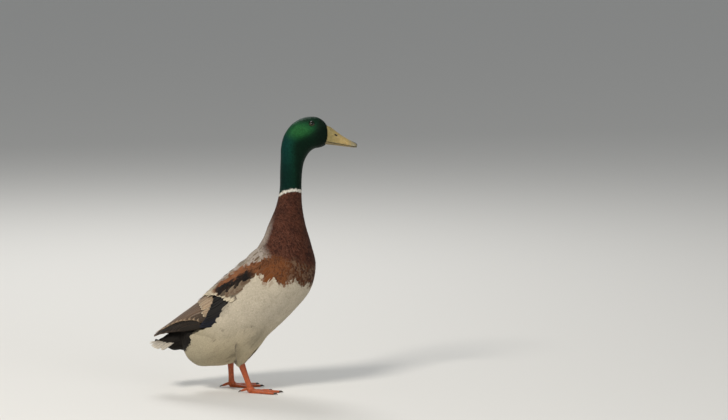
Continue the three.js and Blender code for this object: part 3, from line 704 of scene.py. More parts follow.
BODY_COAT = feather_material(
    "soft_contour_feathers", "#e8dcc8", length_mm=14,
    Roughness=0.78, Sheen_Weight=0.03, Specular_IOR_Level=0.15,
)
HEAD_COAT = feather_material(
    "silky_head_feathers", "#2f9c7a", barb_mm=0.8, length_mm=5,
    Roughness=0.46, Sheen_Weight=0.02, Specular_IOR_Level=0.06, Metallic=0.3,
)
FLIGHT_COAT = feather_material(
    "stiff_flight_feathers", "#cfc4b4", barb_mm=1.2, shaft=0.6, length_mm=60,
    Roughness=0.55, Sheen_Weight=0.02, Specular_IOR_Level=0.15, Coat_Weight=0.03,
)
SKIN = skin_material()
BILL = horn_material("olive_bill_horn", 0.34, 0.25)
CLAW = horn_material("dark_claw_horn", 0.4, 0.1)
LEG = leg_material()
EYE = eye_material()


def placed(piece, material, slot, *replaced):
    """Gives a finished piece its material, hides the solids it stands for, and lets it ride on the one body;
    its slot is not used.
    """
    piece.data.materials.clear()
    piece.data.materials.append(material)
    if replaced:
        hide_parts(*replaced)
    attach(piece, "root")
    return piece


def tinted(mesh, colours):
    """Stores a colour for each vertex under the name the materials read."""
    flat = np.ones((len(mesh.vertices), 4), np.float32)
    flat[:, :3] = colours
    mesh.attributes.new("tint", "FLOAT_COLOR", "POINT").data.foreach_set("color", flat.ravel())


def points_of(mesh, what="co"):
    found = np.empty(len(mesh.vertices) * 3, np.float32)
    mesh.vertices.foreach_get(what, found)
    return found.reshape(-1, 3).astype(float)


def move_points(mesh, points):
    mesh.vertices.foreach_set("co", points.astype(np.float32).ravel())
    mesh.update()


# modelled pieces


def loft(bm, rings, close_start=True, close_end=True):
    """Bridges rings of points into one tube in bm and closes its ends."""
    loops = []
    for ring in rings:
        circle = bmesh.ops.create_circle(bm, cap_ends=False, segments=len(ring), radius=1.0)["verts"]
        for vert, place in zip(circle, ring):
            vert.co = place
        loops.append(circle)
    edges_of = []
    for circle in loops:
        own = set(circle)
        edges_of.append([e for e in {e for v in circle for e in v.link_edges} if set(e.verts) <= own])
    for here, after in zip(edges_of, edges_of[1:]):
        bmesh.ops.bridge_loops(bm, edges=here + after)
    for wanted, circle in ((close_start, loops[0]), (close_end, loops[-1])):
        if wanted:
            bmesh.ops.contextual_create(bm, geom=circle)


def object_from(bm, name, smooth_shaded=True):
    bmesh.ops.remove_doubles(bm, verts=bm.verts, dist=1e-7)
    bmesh.ops.recalc_face_normals(bm, faces=bm.faces)
    mesh = bpy.data.meshes.new(name)
    bm.to_mesh(mesh)
    bm.free()
    if smooth_shaded:
        mesh.shade_smooth()
    piece = bpy.data.objects.new(name, mesh)
    bpy.context.collection.objects.link(piece)
    return piece


def blended(piece, voxel_mm, smoothing, name):
    """Melts a piece's overlapping shapes into one surface with no seams."""
    remesh = piece.modifiers.new("melt", "REMESH")
    remesh.mode = "VOXEL"
    remesh.voxel_size = voxel_mm * MM
    relax = piece.modifiers.new("relax", "SMOOTH")
    relax.factor = 0.5
    relax.iterations = smoothing
    graph = bpy.context.evaluated_depsgraph_get()
    mesh = bpy.data.meshes.new_from_object(piece.evaluated_get(graph))
    old = piece.data
    piece.modifiers.clear()
    piece.data = mesh
    bpy.data.meshes.remove(old)
    mesh.name = name
    mesh.shade_smooth()
    return piece


def form_rings(form, rows, segments, inset):
    """Rings of a form at the given rows, drawn in by inset millimetres for each row."""
    angle = np.linspace(0, 2 * math.pi, segments, endpoint=False)
    return [form.point(np.full(segments, r), angle, -i) for r, i in zip(rows, inset)]


def thigh_form(side):
    """The thigh's own curve from hip to hock, as the solids have it; side is 1 on the left."""
    hock = LEFT_HOCK if side > 0 else RIGHT_HOCK
    hip = np.array([hock[0] + 16, 33 * side, 118])
    middle = hip + (np.array(hock) - hip) * 0.55
    return Limb([hip, middle, np.array(hock) + np.array([0, 0, 1])], [[25, 21], [17, 15], [8.2, 7.4]])


RIGHT_HOCK = (-25, -32, 60)
RIGHT_ANKLE = (-7, -33, 9)
LEFT_HOCK = (-46, 31, 60)
LEFT_ANKLE = (-44, 32, 9)
THIGHS = {1: thigh_form(1), -1: thigh_form(-1)}


def coat_depth(row):
    """How deep the skin lies under the outer surface, from rump to bill, in millimetres."""
    return np.interp(row, (0, 9, 13, 17, 22), (2.4, 2.4, 1.8, 1.0, 0.6))


# how deep the skin lies under the coat of the rump, the thighs and the melted creases
RUMP_DEPTH = 2.2
THIGH_DEPTH = 1.2
FILLET_DEPTH = 2.6
FILLET_MM = 38  # how wide the thighs melt into the body
DEEPEST = 27  # feathers that would have to be lifted further than this are left out, in millimetres
MOST_STRETCH = 1.7  # and so are those that the lift makes this many times longer
# where the thighs are near enough for the melting to be worked out: middle, reach, heights
LEGS_X = -30
LEGS_REACH = 105
LEGS_Z = (45, 170)


def make_skin():
    bm = bmesh.new()
    rows = np.concatenate([np.linspace(0, 16, 65), np.linspace(16.2, 22, 40)])
    loft(bm, form_rings(body, rows, 48, coat_depth(rows)))
    tail_rows = np.linspace(0.25, 4, 24)
    loft(bm, form_rings(rump, tail_rows, 32, np.full(24, RUMP_DEPTH)))
    for side, form in THIGHS.items():
        limb_rows = np.linspace(0, 1.98, 20)
        loft(bm, form_rings(form, limb_rows, 28, np.full(20, THIGH_DEPTH)))
    piece = blended(object_from(bm, "duck_skin"), 1.5, 6, "duck_skin")
    points = points_of(piece.data)
    points, _ = melted(points, np.full(len(points), -FILLET_DEPTH * MM))
    move_points(piece.data, points)
    normals = points_of(piece.data, "normal").astype(np.float32)
    facing = normals[:, 2] * 0.75 - normals[:, 0] * 0.5
    angle = np.arccos(np.clip(facing, -1, 1))
    tinted(piece.data, markings(points, angle, np.random.default_rng(SEED))[0])
    nodes = ("torso", "neck_lower", "neck_upper", "head", "thigh_left", "thigh_right")
    return placed(piece, SKIN, "body_feathers", *nodes)


def eye_frame(side):
    """The eye's place on the head and the way it looks: centre, outward normal, both in metres."""
    rows, angles = np.meshgrid(np.linspace(17, 22, 501), np.linspace(0.1, 3.0, 581), indexing="ij")
    found = body.point(rows, angles)
    miss = np.hypot(found[..., 0] / MM - SHIFT - EYE_AT[0], found[..., 2] / MM - EYE_AT[1])
    best = np.unravel_index(np.argmin(miss), miss.shape)
    _, _, _, normal, _, _ = frame_on(body, rows[best], angles[best])
    place = found[best]
    look = Vector((normal[0], normal[1] * side, normal[2] * EYE_LEVEL)).normalized()
    return Vector((place[0], place[1] * side, place[2])), look


def rooted(roots, v_range):
    """Each root's place on the skin's own unwrap: round the form across, along it up."""
    u = (roots[:, 1] / (2 * math.pi)) % 1.0
    v = (roots[:, 0] - v_range[0]) / (v_range[1] - v_range[0])
    return np.stack([u * 0.98 + 0.01, v * 0.98 + 0.01], 1)


def tree_of(rings, name):
    bm = bmesh.new()
    loft(bm, rings)
    piece = object_from(bm, name)
    mesh = piece.data
    corners = [v.co.copy() for v in mesh.vertices]
    tree = BVHTree.FromPolygons(corners, [tuple(p.vertices) for p in mesh.polygons])
    bpy.data.objects.remove(piece)
    bpy.data.meshes.remove(mesh)
    return tree


def over_body(points):
    """Heights of points over the body, and the ways out of it."""
    heights = np.empty(len(points))
    ways = np.empty((len(points), 3))
    for i, place in enumerate(points):
        place = Vector(place)
        hit, normal, _, distance = BODY_TREE.find_nearest(place)
        heights[i] = math.copysign(distance, (place - hit).dot(normal))
        ways[i] = normal
    return heights, ways


# the fold of skin from each thigh back to the belly: how far behind the hock, side, height, radius
KNEE_FOLD = ((-5, 32, 86, 16), (13, 29.5, 82.5, 18.5), (32, 25, 80, 20.5))


def sphere_rows():
    """Each thigh from where it leaves the body, and its fold, as rows of spheres: centres and radii."""
    found = []
    for side, form in THIGHS.items():
        rows = np.linspace(0.6, form.last, 36)
        fold = along_stations(KNEE_FOLD, np.linspace(0, 2, 24))
        hock_x = (LEFT_HOCK if side > 0 else RIGHT_HOCK)[0]
        behind = np.stack([hock_x - fold[:, 0], fold[:, 1] * side, fold[:, 2]], axis=1)
        centres = np.concatenate([along_stations(form.points, rows), behind]) + np.array([SHIFT, 0, 0])
        radii = np.concatenate([along_stations(form.radii, rows).mean(axis=-1), fold[:, 3]])
        found.append((centres * MM, radii * MM))
    return found


def over_spheres(points, centres, radii):
    """Heights of points over a row of spheres, and the ways out of it, which turn softly along the row."""
    away = points[:, None] - centres
    reach = np.linalg.norm(away, axis=-1)
    gaps = reach - radii
    height = gaps.min(axis=1)
    weight = np.exp((height[:, None] - gaps) / (5 * MM)) / np.maximum(reach, 1e-6)
    way = (away * weight[..., None]).sum(axis=1)
    return height, way / np.maximum(np.linalg.norm(way, axis=1), 1e-6)[:, None]


def melted(points, rises):
    """Lifts points out of the creases between body and thighs, onto a surface where the two run together.

    Returns the points and the way out of that surface, which is zero where nothing was lifted.
    """
    out = points.copy()
    ways = np.zeros_like(points)
    width = FILLET_MM * MM
    x, z = points[:, 0] / MM, points[:, 2] / MM
    own = np.flatnonzero((np.abs(x - LEGS_X) < LEGS_REACH) & (z > LEGS_Z[0]) & (z < LEGS_Z[1]))
    for _ in range(3):
        height, way = over_body(out[own])
        for centres, radii in THIGH_ROWS:
            other, out_of_thigh = over_spheres(out[own], centres, radii)
            share = np.clip(0.5 + 0.5 * (other - height) / width, 0, 1)
            height = other + (height - other) * share - width * share * (1 - share)
            way = out_of_thigh * (1 - share)[:, None] + way * share[:, None]
        way /= np.maximum(np.linalg.norm(way, axis=1), 1e-6)[:, None]
        out[own] += way * np.maximum(rises[own] - height, 0)[:, None]
    lifted = np.linalg.norm(out[own] - points[own], axis=1) / MM
    ways[own] = way * smooth(0.3, 5, lifted)[:, None]
    return out, ways


def coat(
    name, slot, form, rows, angles, spacing, size, depth, lift, rng, material=BODY_COAT,
    sections=5, across=3, skip=None, colours=markings, fillet=False, yaws=None, wobble=0.07,
):
    """Small contour feathers all over one stretch of a form, lying towards the tail.

    Spacing and size are (down, round) and (length, width) in millimetres. Skip drops roots, given
    their places and their rows and angles. With a fillet they run over the crease behind a thigh.
    """
    roots = scattered(form, rows, angles, spacing, rng)
    places = form.point(roots[:, 0], roots[:, 1])
    if skip is not None:
        roots = roots[~skip(places, roots)]
    count = len(roots)
    long = size[0] * rng.uniform(0.85, 1.15, count)
    wide = size[1] * rng.uniform(0.85, 1.15, count)
    yaw = rng.normal(0, wobble, count) + (0 if yaws is None else yaws(roots))
    lifts = lift * rng.uniform(0.6, 1.4, count)
    curl = 0.6
    spines, sides, normals = flow(form, roots[:, 0], roots[:, 1], yaw, long, sections, depth, lifts, curl)
    if fillet:
        rises = (-depth + (lifts[:, None] + depth) * stations(sections)[None, :] ** curl) * MM
        raised, ways = (a.reshape(spines.shape) for a in melted(spines.reshape(-1, 3), rises.ravel()))
        normals = normals + 3 * ways
        normals /= np.linalg.norm(normals, axis=-1, keepdims=True)
        # feathers that would start deep inside the other form, or be stretched, are left out
        length = np.linalg.norm(np.diff(raised, axis=1), axis=-1).sum(axis=1)
        kept = np.linalg.norm(raised - spines, axis=-1).max(axis=1) < DEEPEST * MM
        kept &= length < MOST_STRETCH * long * MM
        spines, sides, normals = raised[kept], sides[kept], normals[kept]
        roots, wide = roots[kept], wide[kept]
        count = len(roots)
    if colours is markings:
        tint, fringe = markings(spines[:, int(sections * 0.7)], roots[:, 1], rng)
    else:
        tint, fringe = colours(spines, rng)
    twist = rng.normal(0, 0.03, count)
    piece = feathers(
        name, spines, sides, normals, wide, tint, fringe, rooted(roots, (0, form.last)),
        cup=0.03, across=across, twist=twist, fray=0.4, soft=True,
    )
    return placed(piece, material, slot)


# the flank feathers lap over the lower edge of each folded wing; its edge by row of the mantle sheet
LAP_ROWS = (3.0, 4.45, 5.75, 6.93, 7.25, 8.2, 9.16, 10.2)
LAP_ANGLES = (112, 96, 80, 63, 59, 54.5, 57, 63)
# the shoulder feathers end short of the pale bar, whose edge is given by angle
BAR_ANGLES = (8, 25, 42, 58, 66)
BAR_ROWS = (5.1, 5.55, 6.15, 7.05, 7.3)


def lap_angle(row):
    return np.radians(np.interp(row, LAP_ROWS, LAP_ANGLES))


def from_back(roots):
    """The angle of roots from the middle of the back, alike on both sides."""
    return np.minimum(roots[:, 1], 2 * math.pi - roots[:, 1])


def tips_of(form, roots, length):
    """Rows where feathers of a length in millimetres end that start at these roots."""
    _, _, _, _, per_row, _ = frame_on(form, roots[:, 0] - 0.4, roots[:, 1])
    return roots[:, 0] - length * MM / per_row


def make_coats():
    rng = np.random.default_rng(SEED)
    whole = (0, 2 * math.pi)
    for side, half in ((1, (0.0, math.pi)), (-1, (math.pi, 2 * math.pi))):
        word = WORDS[side]

        def under_wing(_, roots):
            return (from_back(roots) < np.radians(80)) & (roots[:, 0] < 6.2) & (roots[:, 0] > 1.2)

        def off_flank(_, roots):
            angle = from_back(roots)
            lap = lap_angle(tips_of(mantle, roots, 15)) + rng.normal(0, 0.015, len(angle))
            return (angle < lap) | (angle > np.radians(174))

        coat(
            f"coat_belly_{word}", "body_feathers", body, (0.02, 6.4), half, (3.8, 4.0), (17, 8.6), 1.9, 0.3,
            rng, sections=6, across=5, skip=under_wing, fillet=True,
        )
        coat(
            f"coat_breast_{word}", "breast_feathers", body, (6.2, 10.4), half, (3.0, 3.2), (13, 6.6),
            1.8, 0.25, rng, sections=6,
        )
        coat(
            f"coat_flank_{word}", "body_feathers", mantle, (4.6, 10.25), half, (3.8, 4.0), (19, 9), 1.9, 0.6,
            rng, sections=6, across=5, skip=off_flank,
            yaws=lambda roots: side * 0.16 * smooth(7.6, 6.6, roots[:, 0]),
        )
        for label, rows, spacing, size, lift in (
            ("rear", (6.0, 8.0), (6, 5.4), (34, 11), 2.5),
            ("middle", (7.8, 9.2), (5.2, 4.8), (26, 9.5), 2.4),
            ("front", (9.0, 9.95), (3.8, 3.6), (15, 6.8), 1.5),
        ):

            def off_shoulder(_, roots):
                angle = from_back(roots)
                tip = tips_of(mantle, roots, size[0])
                bar = np.interp(np.degrees(angle), BAR_ANGLES, BAR_ROWS) + 0.16
                edge = lap_angle(tip) - 0.02 - 0.14 * smooth(8.8, 9.3, tip)
                return (angle > edge) | (angle < 0.05) | (tip < bar)

            coat(
                f"scapulars_{label}_{word}", "wing_feathers", mantle, rows, half, spacing, size, 2.0, lift,
                rng, sections=8, across=5, skip=off_shoulder, colours=shoulder_markings, wobble=0.04,
            )

    eyes = [np.array(eye_frame(side)[0]) for side in (1, -1)]

    def below_ring(places, _):
        x, up = side_view(places)
        return up < np.interp(x, RING_X, RING_UP) + 1.5

    def at_eye(places, _):
        near = np.min([np.linalg.norm(places - eye, axis=1) for eye in eyes], axis=0)
        return near < EYE_CLEARING * MM

    coat("coat_neck", "breast_feathers", body, (10.1, 13.4), whole, (2.4, 2.4), (8.5, 5), 1.7, 0.22, rng)
    for part, rows, spacing, size, depth, lift, skip in (
        ("green_neck", (12.2, 16.6), 1.8, (6.5, 3.6), 1.2, 0.12, below_ring),
        ("head", (16.3, 19.8), 1.35, (4.6, 2.5), 0.7, 0.1, at_eye),
        ("face", (19.8, 21.97), 1.1, (3.4, 1.9), 0.6, 0.08, at_eye),
    ):
        coat(
            f"coat_{part}", "head_feathers", body, rows, whole, (spacing, spacing), size, depth, lift, rng,
            sections=4, skip=skip, material=HEAD_COAT,
        )
    for side, form in THIGHS.items():
        coat(
            f"coat_thigh_{WORDS[side]}", "body_feathers", form, (0.6, 1.95), whole, (2.6, 2.8), (13, 6),
            1.4, 0.2, rng, sections=6, fillet=True,
        )
    coat("coat_rump", "tail_feathers", rump, (0.6, 3.6), whole, (3.8, 4), (20, 9), 2.2, 0.6, rng)


# wing feathers, each tier counted from its lowest to its highest: count, rows of the first and last tip,
# angles and yaws in degrees, lengths, width, height of the tips, colour of the vane and of its edge
WING_TIERS = {
    "primaries": (9, (2.5, 0.5), (82, 30), (-2, -4), (70, 125), 11, 0.2, SOOT, TERTIAL_BROWN),
    "tertials": (11, (4.3, 0.6), (67, 4), (-5, -1), (60, 140), 13.5, 0.9, TERTIAL_BROWN, TERTIAL_PALE),
    "rear_tertials": (8, (4.95, 4.6), (62, 9), (-2, 0), (34, 34), 11, 1.6, TERTIAL_PALE, WING_BAR),
    "secondaries": (12, (4.5, 6.0), (84, 43), (5, 2), (58, 40), 9.5, 2.0, SPECULUM, SPECULUM),
    "greater_coverts": (15, (7.05, 5.05), (63, 4), (0, -1), (30, 26), 8.5, 2.3, WING_GREY, WING_BAR),
}


def wing_colours(tier, tint, fringe, share, spines, rng):
    """Each wing feather's colours along its vane; share runs from the lowest feather of its tier up."""
    count, sections = spines.shape[:2]
    v = stations(sections)[None, :]
    share = share[:, None]
    shade = rng.uniform(0.82, 1.12, (count, 1, 1))
    tint = np.broadcast_to(tint, (count, sections, 3)) * shade
    fringe = np.broadcast_to(fringe, (count, sections, 3)) * rng.uniform(0.9, 1.1, (count, 1, 1))
    if tier == "secondaries":
        # black, with a thin painted blue sheen along the lowest edge
        lowest = smooth(0.4, 0.05, share) * np.ones_like(v)
        tint = mixed(tint, SPECULUM_SHEEN_BLUE, lowest * 0.2)
        fringe = mixed(fringe, SPECULUM_SHEEN_BLUE, smooth(0.6, 0.1, share) * np.ones_like(v) * 0.35)
    if tier == "greater_coverts":
        tint = mixed(tint, WING_BAR, smooth(0.55, 0.75, v) * np.ones_like(share))
    if tier == "rear_tertials":
        tint = mixed(tint, TERTIAL_BROWN, smooth(0.5, 1.0, share) * 0.6 * np.ones_like(v))
    if tier == "tertials":
        tint = mixed(tint, SOOT, smooth(0.4, 0.0, share) * 0.7 * np.ones_like(v))
        crest = smooth(0.86, 1.0, share) * np.ones_like(v)
        tint = mixed(tint, LILAC_GREY, crest * 0.35)
    if tier == "primaries":
        fringe = mixed(fringe, SOOT, smooth(1.0, 0.3, share) * 0.7 * np.ones_like(v))
    return tint, fringe


def quill_from_tip(form, row, angle, yaw, length):
    """Row and angle of the quill of a feather that ends at a row and angle."""
    for _ in range(8):
        _, _, _, _, per_row, per_turn = frame_on(form, row, angle)
        row = row + length * MM / 8 * np.cos(yaw) / per_row
        angle = angle - length * MM / 8 * np.sin(yaw) / per_turn
    return row, angle


def make_wing(side):
    word = WORDS[side]
    rng = np.random.default_rng(SEED + side)
    sections = 14
    parts = [[] for _ in range(7)]
    for tier, (count, rows, angles, yaws, lengths, width, lift, tint, fringe) in WING_TIERS.items():
        share = np.linspace(0, 1, count)
        row, angle, yaw, length = (np.interp(share, (0, 1), ends) for ends in (rows, angles, yaws, lengths))
        row = row + rng.uniform(-0.05, 0.05, count)
        angle = np.radians(angle + rng.uniform(-1, 1, count))
        yaw = np.radians(yaw + rng.uniform(-1.2, 1.2, count))
        length = length * rng.uniform(0.95, 1.05, count)
        lifts = lift + 0.7 * share
        row, angle = quill_from_tip(mantle, row, angle, yaw, length)
        spines, sides, normals = flow(mantle, row, angle, yaw, length, sections, 2.2, lifts, curl=0.7)
        tint, fringe = wing_colours(tier, tint, fringe, share, spines, rng)
        flip = np.array([1, side, 1])
        widths = width * rng.uniform(0.94, 1.06, count)
        roots = rooted(np.stack([row, angle * side], 1), (0, mantle.last))
        made = (spines * flip, sides * flip, normals * flip, widths, tint, fringe, roots)
        for store, values in zip(parts, made):
            store.append(values)
    spines, sides, *rest = (np.concatenate(a) for a in parts)
    piece = feathers(
        f"wing_feathers_{word}", spines, sides * side, *rest, blunt=0.62, cup=0.12, across=5, thick=0.35
    )
    return placed(piece, FLIGHT_COAT, "wing_feathers", f"wing_{word}")


def make_wing_base():
    """The dark sheet of feather bases under both folded wings, so that none shows through: its colour is
    partly the plumage's own dark tones and partly painted shade in the gaps between the wing feathers.
    """
    bm = bmesh.new()
    rows = np.linspace(1.6, 9.2, 40)
    reach = np.radians(np.interp(rows, range(11), (50, 64, 72, 78, 82, 78, 68, 58, 52, 46, 34)))
    segments = 40
    rings = []
    for row, half in zip(rows, reach):
        outer = np.linspace(-half, half, segments // 2)
        thick = 3.0 + 5 * smooth(3, 5.5, row)
        sheet = ((outer, 1.4), (outer[::-1], thick))
        rings.append(np.concatenate([mantle.point(np.full(len(a), row), a, -deep) for a, deep in sheet]))
    loft(bm, rings)
    piece = object_from(bm, "wing_base")
    points = points_of(piece.data)
    x, _ = side_view(points)
    # soot behind and dark rust in front: the plumage's dark tones, standing in as painted shade in the gaps
    # between wing feathers
    under = mixed(SOOT, RUST_DARK, smooth(-60, 0, x) * 0.6)
    tinted(piece.data, under)
    return placed(piece, SKIN, "wing_feathers")


# tail


def in_fan(angle, start, rise, tilt, length, sections):
    """Spines of tail feathers in a fan that droops at its sides."""
    along = stations(sections)[None, :] * length[:, None]
    distance = start + along
    side = distance * np.sin(angle)[:, None]
    out = distance * np.cos(angle)[:, None]
    up = rise[:, None] + tilt * along - DROOP * side**2
    x = TAIL_ROOT[0] + SHIFT - out * math.cos(TAIL_PITCH) - up * math.sin(TAIL_PITCH)
    z = TAIL_ROOT[2] - out * math.sin(TAIL_PITCH) + up * math.cos(TAIL_PITCH)
    spines = np.stack([x, side, z], -1) * MM
    turn = np.arctan(-2 * DROOP * side)
    ahead = np.sin(angle)[:, None] * np.ones_like(side)
    across = np.stack([ahead, np.cos(angle)[:, None] * np.cos(turn), np.sin(turn)], -1)
    normal = np.stack([np.zeros_like(side), -np.sin(turn), np.cos(turn)], -1)
    return spines, across, normal


# tail feathers and coverts: count, half spread in degrees, start from the root, lengths at the sides and in
# the middle, width, height and slope over the tail feathers, colour and edge
TAIL_TIERS = {
    "tail_feathers": (18, 32, 12, (46, 55), 11, 0.0, 0.0, TAIL_GREY, TAIL_WHITE),
    "rear_upper_coverts": (11, 26, 8, (34, 40), 10, 4.2, -0.07, SOOT, SOOT),
    "front_upper_coverts": (11, 24, 0, (28, 32), 10, 7.0, -0.06, COVERT_BLACK, SOOT),
    "rear_under_coverts": (11, 24, 6, (34, 44), 11, -14.5, 0.27, COVERT_BLACK, SOOT),
    "front_under_coverts": (11, 22, -2, (30, 34), 12, -21.0, 0.2, COVERT_BLACK, SOOT),
}


def make_tail():
    rng = np.random.default_rng(SEED + 5)
    parts = [[] for _ in range(7)]
    sections = 10
    for tier, row in enumerate(TAIL_TIERS.items()):
        name, (count, spread, start, lengths, width, rise, tilt, tint, fringe) = row
        share = np.linspace(-1, 1, count)
        angle = np.radians(spread) * share + rng.uniform(-0.03, 0.03, count)
        length = (lengths[0] + (lengths[1] - lengths[0]) * (1 - share**2)) * rng.uniform(0.93, 1.04, count)
        stack = rise + (0.9 * np.abs(share) * (1 if rise < 0 else -1)) + rng.uniform(-0.3, 0.3, count)
        spines, sides, normals = in_fan(angle, start, stack, tilt, length, sections)
        tints = np.broadcast_to(tint, (count, sections, 3)) * rng.uniform(0.85, 1.15, (count, 1, 1))
        fringes = np.broadcast_to(fringe, (count, sections, 3)).copy()
        if name == "tail_feathers":
            outer = smooth(0.1, 0.7, np.abs(share))[:, None]
            tip = smooth(0.45, 0.95, stations(sections))[None, :]
            tints = mixed(tints, TAIL_WHITE, np.maximum(outer * 0.75, tip * 0.7))
        roots = np.stack([0.5 + share * 0.4, np.full(count, 0.1 + 0.18 * tier)], 1)
        widths = np.full(count, width) * rng.uniform(0.9, 1.1, count)
        for store, values in zip(parts, (spines, sides, normals, widths, tints, fringes, roots)):
            store.append(values)
    piece = feathers(
        "tail_vanes", *(np.concatenate(a) for a in parts), blunt=0.62, cup=0.1, across=5, thick=0.35
    )
    return placed(piece, FLIGHT_COAT, "tail_feathers", "tail")


# head


def make_eye(side):
    word = WORDS[side]
    place, look = eye_frame(side)
    centre = place - look * EYE_RADIUS * EYE_SUNK * MM
    bm = bmesh.new()
    bmesh.ops.create_uvsphere(bm, u_segments=64, v_segments=48, radius=EYE_RADIUS * MM)
    turn = Vector((0, 0, 1)).rotation_difference(look).to_matrix().to_4x4()
    bmesh.ops.transform(bm, matrix=Matrix.Translation(centre) @ turn, verts=bm.verts)
    piece = object_from(bm, f"eyeball_{word}")
    points = points_of(piece.data)
    away = (points - np.array(centre)) / (EYE_RADIUS * MM)
    off = np.degrees(np.arccos(np.clip(away @ np.array(look), -1, 1)))
    iris = mixed(linear("#2c1a0f"), linear("#100905"), smooth(26, 40, off))
    colours = mixed(linear("#020202"), iris, smooth(20, 24, off))
    tinted(piece.data, colours)
    return placed(piece, EYE, "eye", f"eye_{word}")


def make_lids(side):
    """Both lids as one rolled rim: an almond opening, a bare grey edge, running out into the feathers."""
    word = WORDS[side]
    place, look = eye_frame(side)
    centre = place - look * EYE_RADIUS * EYE_SUNK * MM
    fore = Vector((1, 0, -0.12))
    fore = (fore - look * fore.dot(look)).normalized()
    up = look.cross(fore) * (1 if look.cross(fore).z > 0 else -1)
    around = 48
    turns = np.linspace(0, 2 * math.pi, around, endpoint=False)
    # from inside the opening, over the rolled edge, out to the feathers: share outwards, height
    profile = ((0.0, -0.2), (0.0, 0.25), (0.1, 0.45), (0.28, 0.42), (0.6, 0.1), (1.0, -0.8))
    bm = bmesh.new()
    rings = []
    for share, height in profile:
        ring = []
        for turn in turns:
            upper = math.sin(turn) > 0
            wide, tall = EYE_OPENING[0], EYE_OPENING[1] * (0.92 if upper else 1.0)
            inner_x, inner_y = wide * math.cos(turn), tall * math.sin(turn) * abs(math.sin(turn)) ** 0.35
            outer_x, outer_y = 6.6 * math.cos(turn), 6.0 * math.sin(turn)
            x = inner_x + (outer_x - inner_x) * share
            y = inner_y + (outer_y - inner_y) * share
            ball = math.sqrt(max(0.0, (EYE_RADIUS + 0.1) ** 2 - x * x - y * y))
            ring.append(centre + (fore * x + up * y + look * (ball + height)) * MM)
        rings.append(ring)
    loft(bm, rings, close_start=False, close_end=False)
    piece = object_from(bm, f"eyelids_{word}")
    round_edge = piece.modifiers.new("round_edge", "SUBSURF")
    round_edge.levels = round_edge.render_levels = 2
    points = points_of(piece.data)
    flat = points - np.array(centre)
    x = flat @ np.array(fore) / MM
    y = flat @ np.array(up) / MM
    reach = np.hypot(x / (EYE_OPENING[0] + 0.5), y / (EYE_OPENING[1] + 0.5))
    edge = mixed(linear("#3f4230"), linear("#162016"), smooth(-0.8, 0.6, y))
    tinted(piece.data, mixed(edge, HEAD_DARK, smooth(1.0, 1.25, reach)))
    return placed(piece, SKIN, "head_feathers")


MOUTH_BACK = Vector((128, 0, 466.8))
MOUTH_TIP = Vector((191, 0, 455.2))
BILL_ROWS = (
    # share of the way to the tip, half width, height of the upper bill, depth of the lower one
    (0, 10.5, 29, 6.5),
    (0.15, 11.4, 27, 6),
    (0.3, 10.8, 22, 5.2),
    (0.5, 10, 15.6, 4.4),
    (0.7, 10.4, 10.6, 3.6),
    (0.85, 10.8, 7.8, 3),
    (0.94, 9.2, 6.2, 2.4),
    (1, 4.6, 3.4, 1.4),
)


def bill_rings(upper, steps, around):
    along = (MOUTH_TIP - MOUTH_BACK).normalized()
    up = Vector((-along.z, 0, along.x))
    shares = [row[0] for row in BILL_ROWS]
    gap = 0.16
    rings = []
    for t in np.linspace(0, 1, steps):
        half, height, depth = (np.interp(t, shares, [row[k] for row in BILL_ROWS]) for k in (1, 2, 3))
        wide = half if upper else half - 1
        rise = height if upper else depth
        ring = []
        arch = int(around * 0.66)
        for k in range(around):
            if k <= arch:
                angle = (k / arch - 0.5) * math.pi
                y = wide * math.copysign(abs(math.sin(angle)) ** 0.8, angle)
                z = rise * max(0.0, math.cos(angle)) ** 0.75
            else:
                flat = 1 - 2 * (k - arch) / (around - arch)
                y, z = wide * 0.9 * flat, 0.0
            place = MOUTH_BACK + (MOUTH_TIP - MOUTH_BACK) * t + up * ((gap + z) if upper else -(gap + z))
            ring.append(Vector((place.x + SHIFT, y, place.z)) * MM)
        rings.append(ring)
    return rings


NOSTRIL = (152.5, 7.6, 477.2)


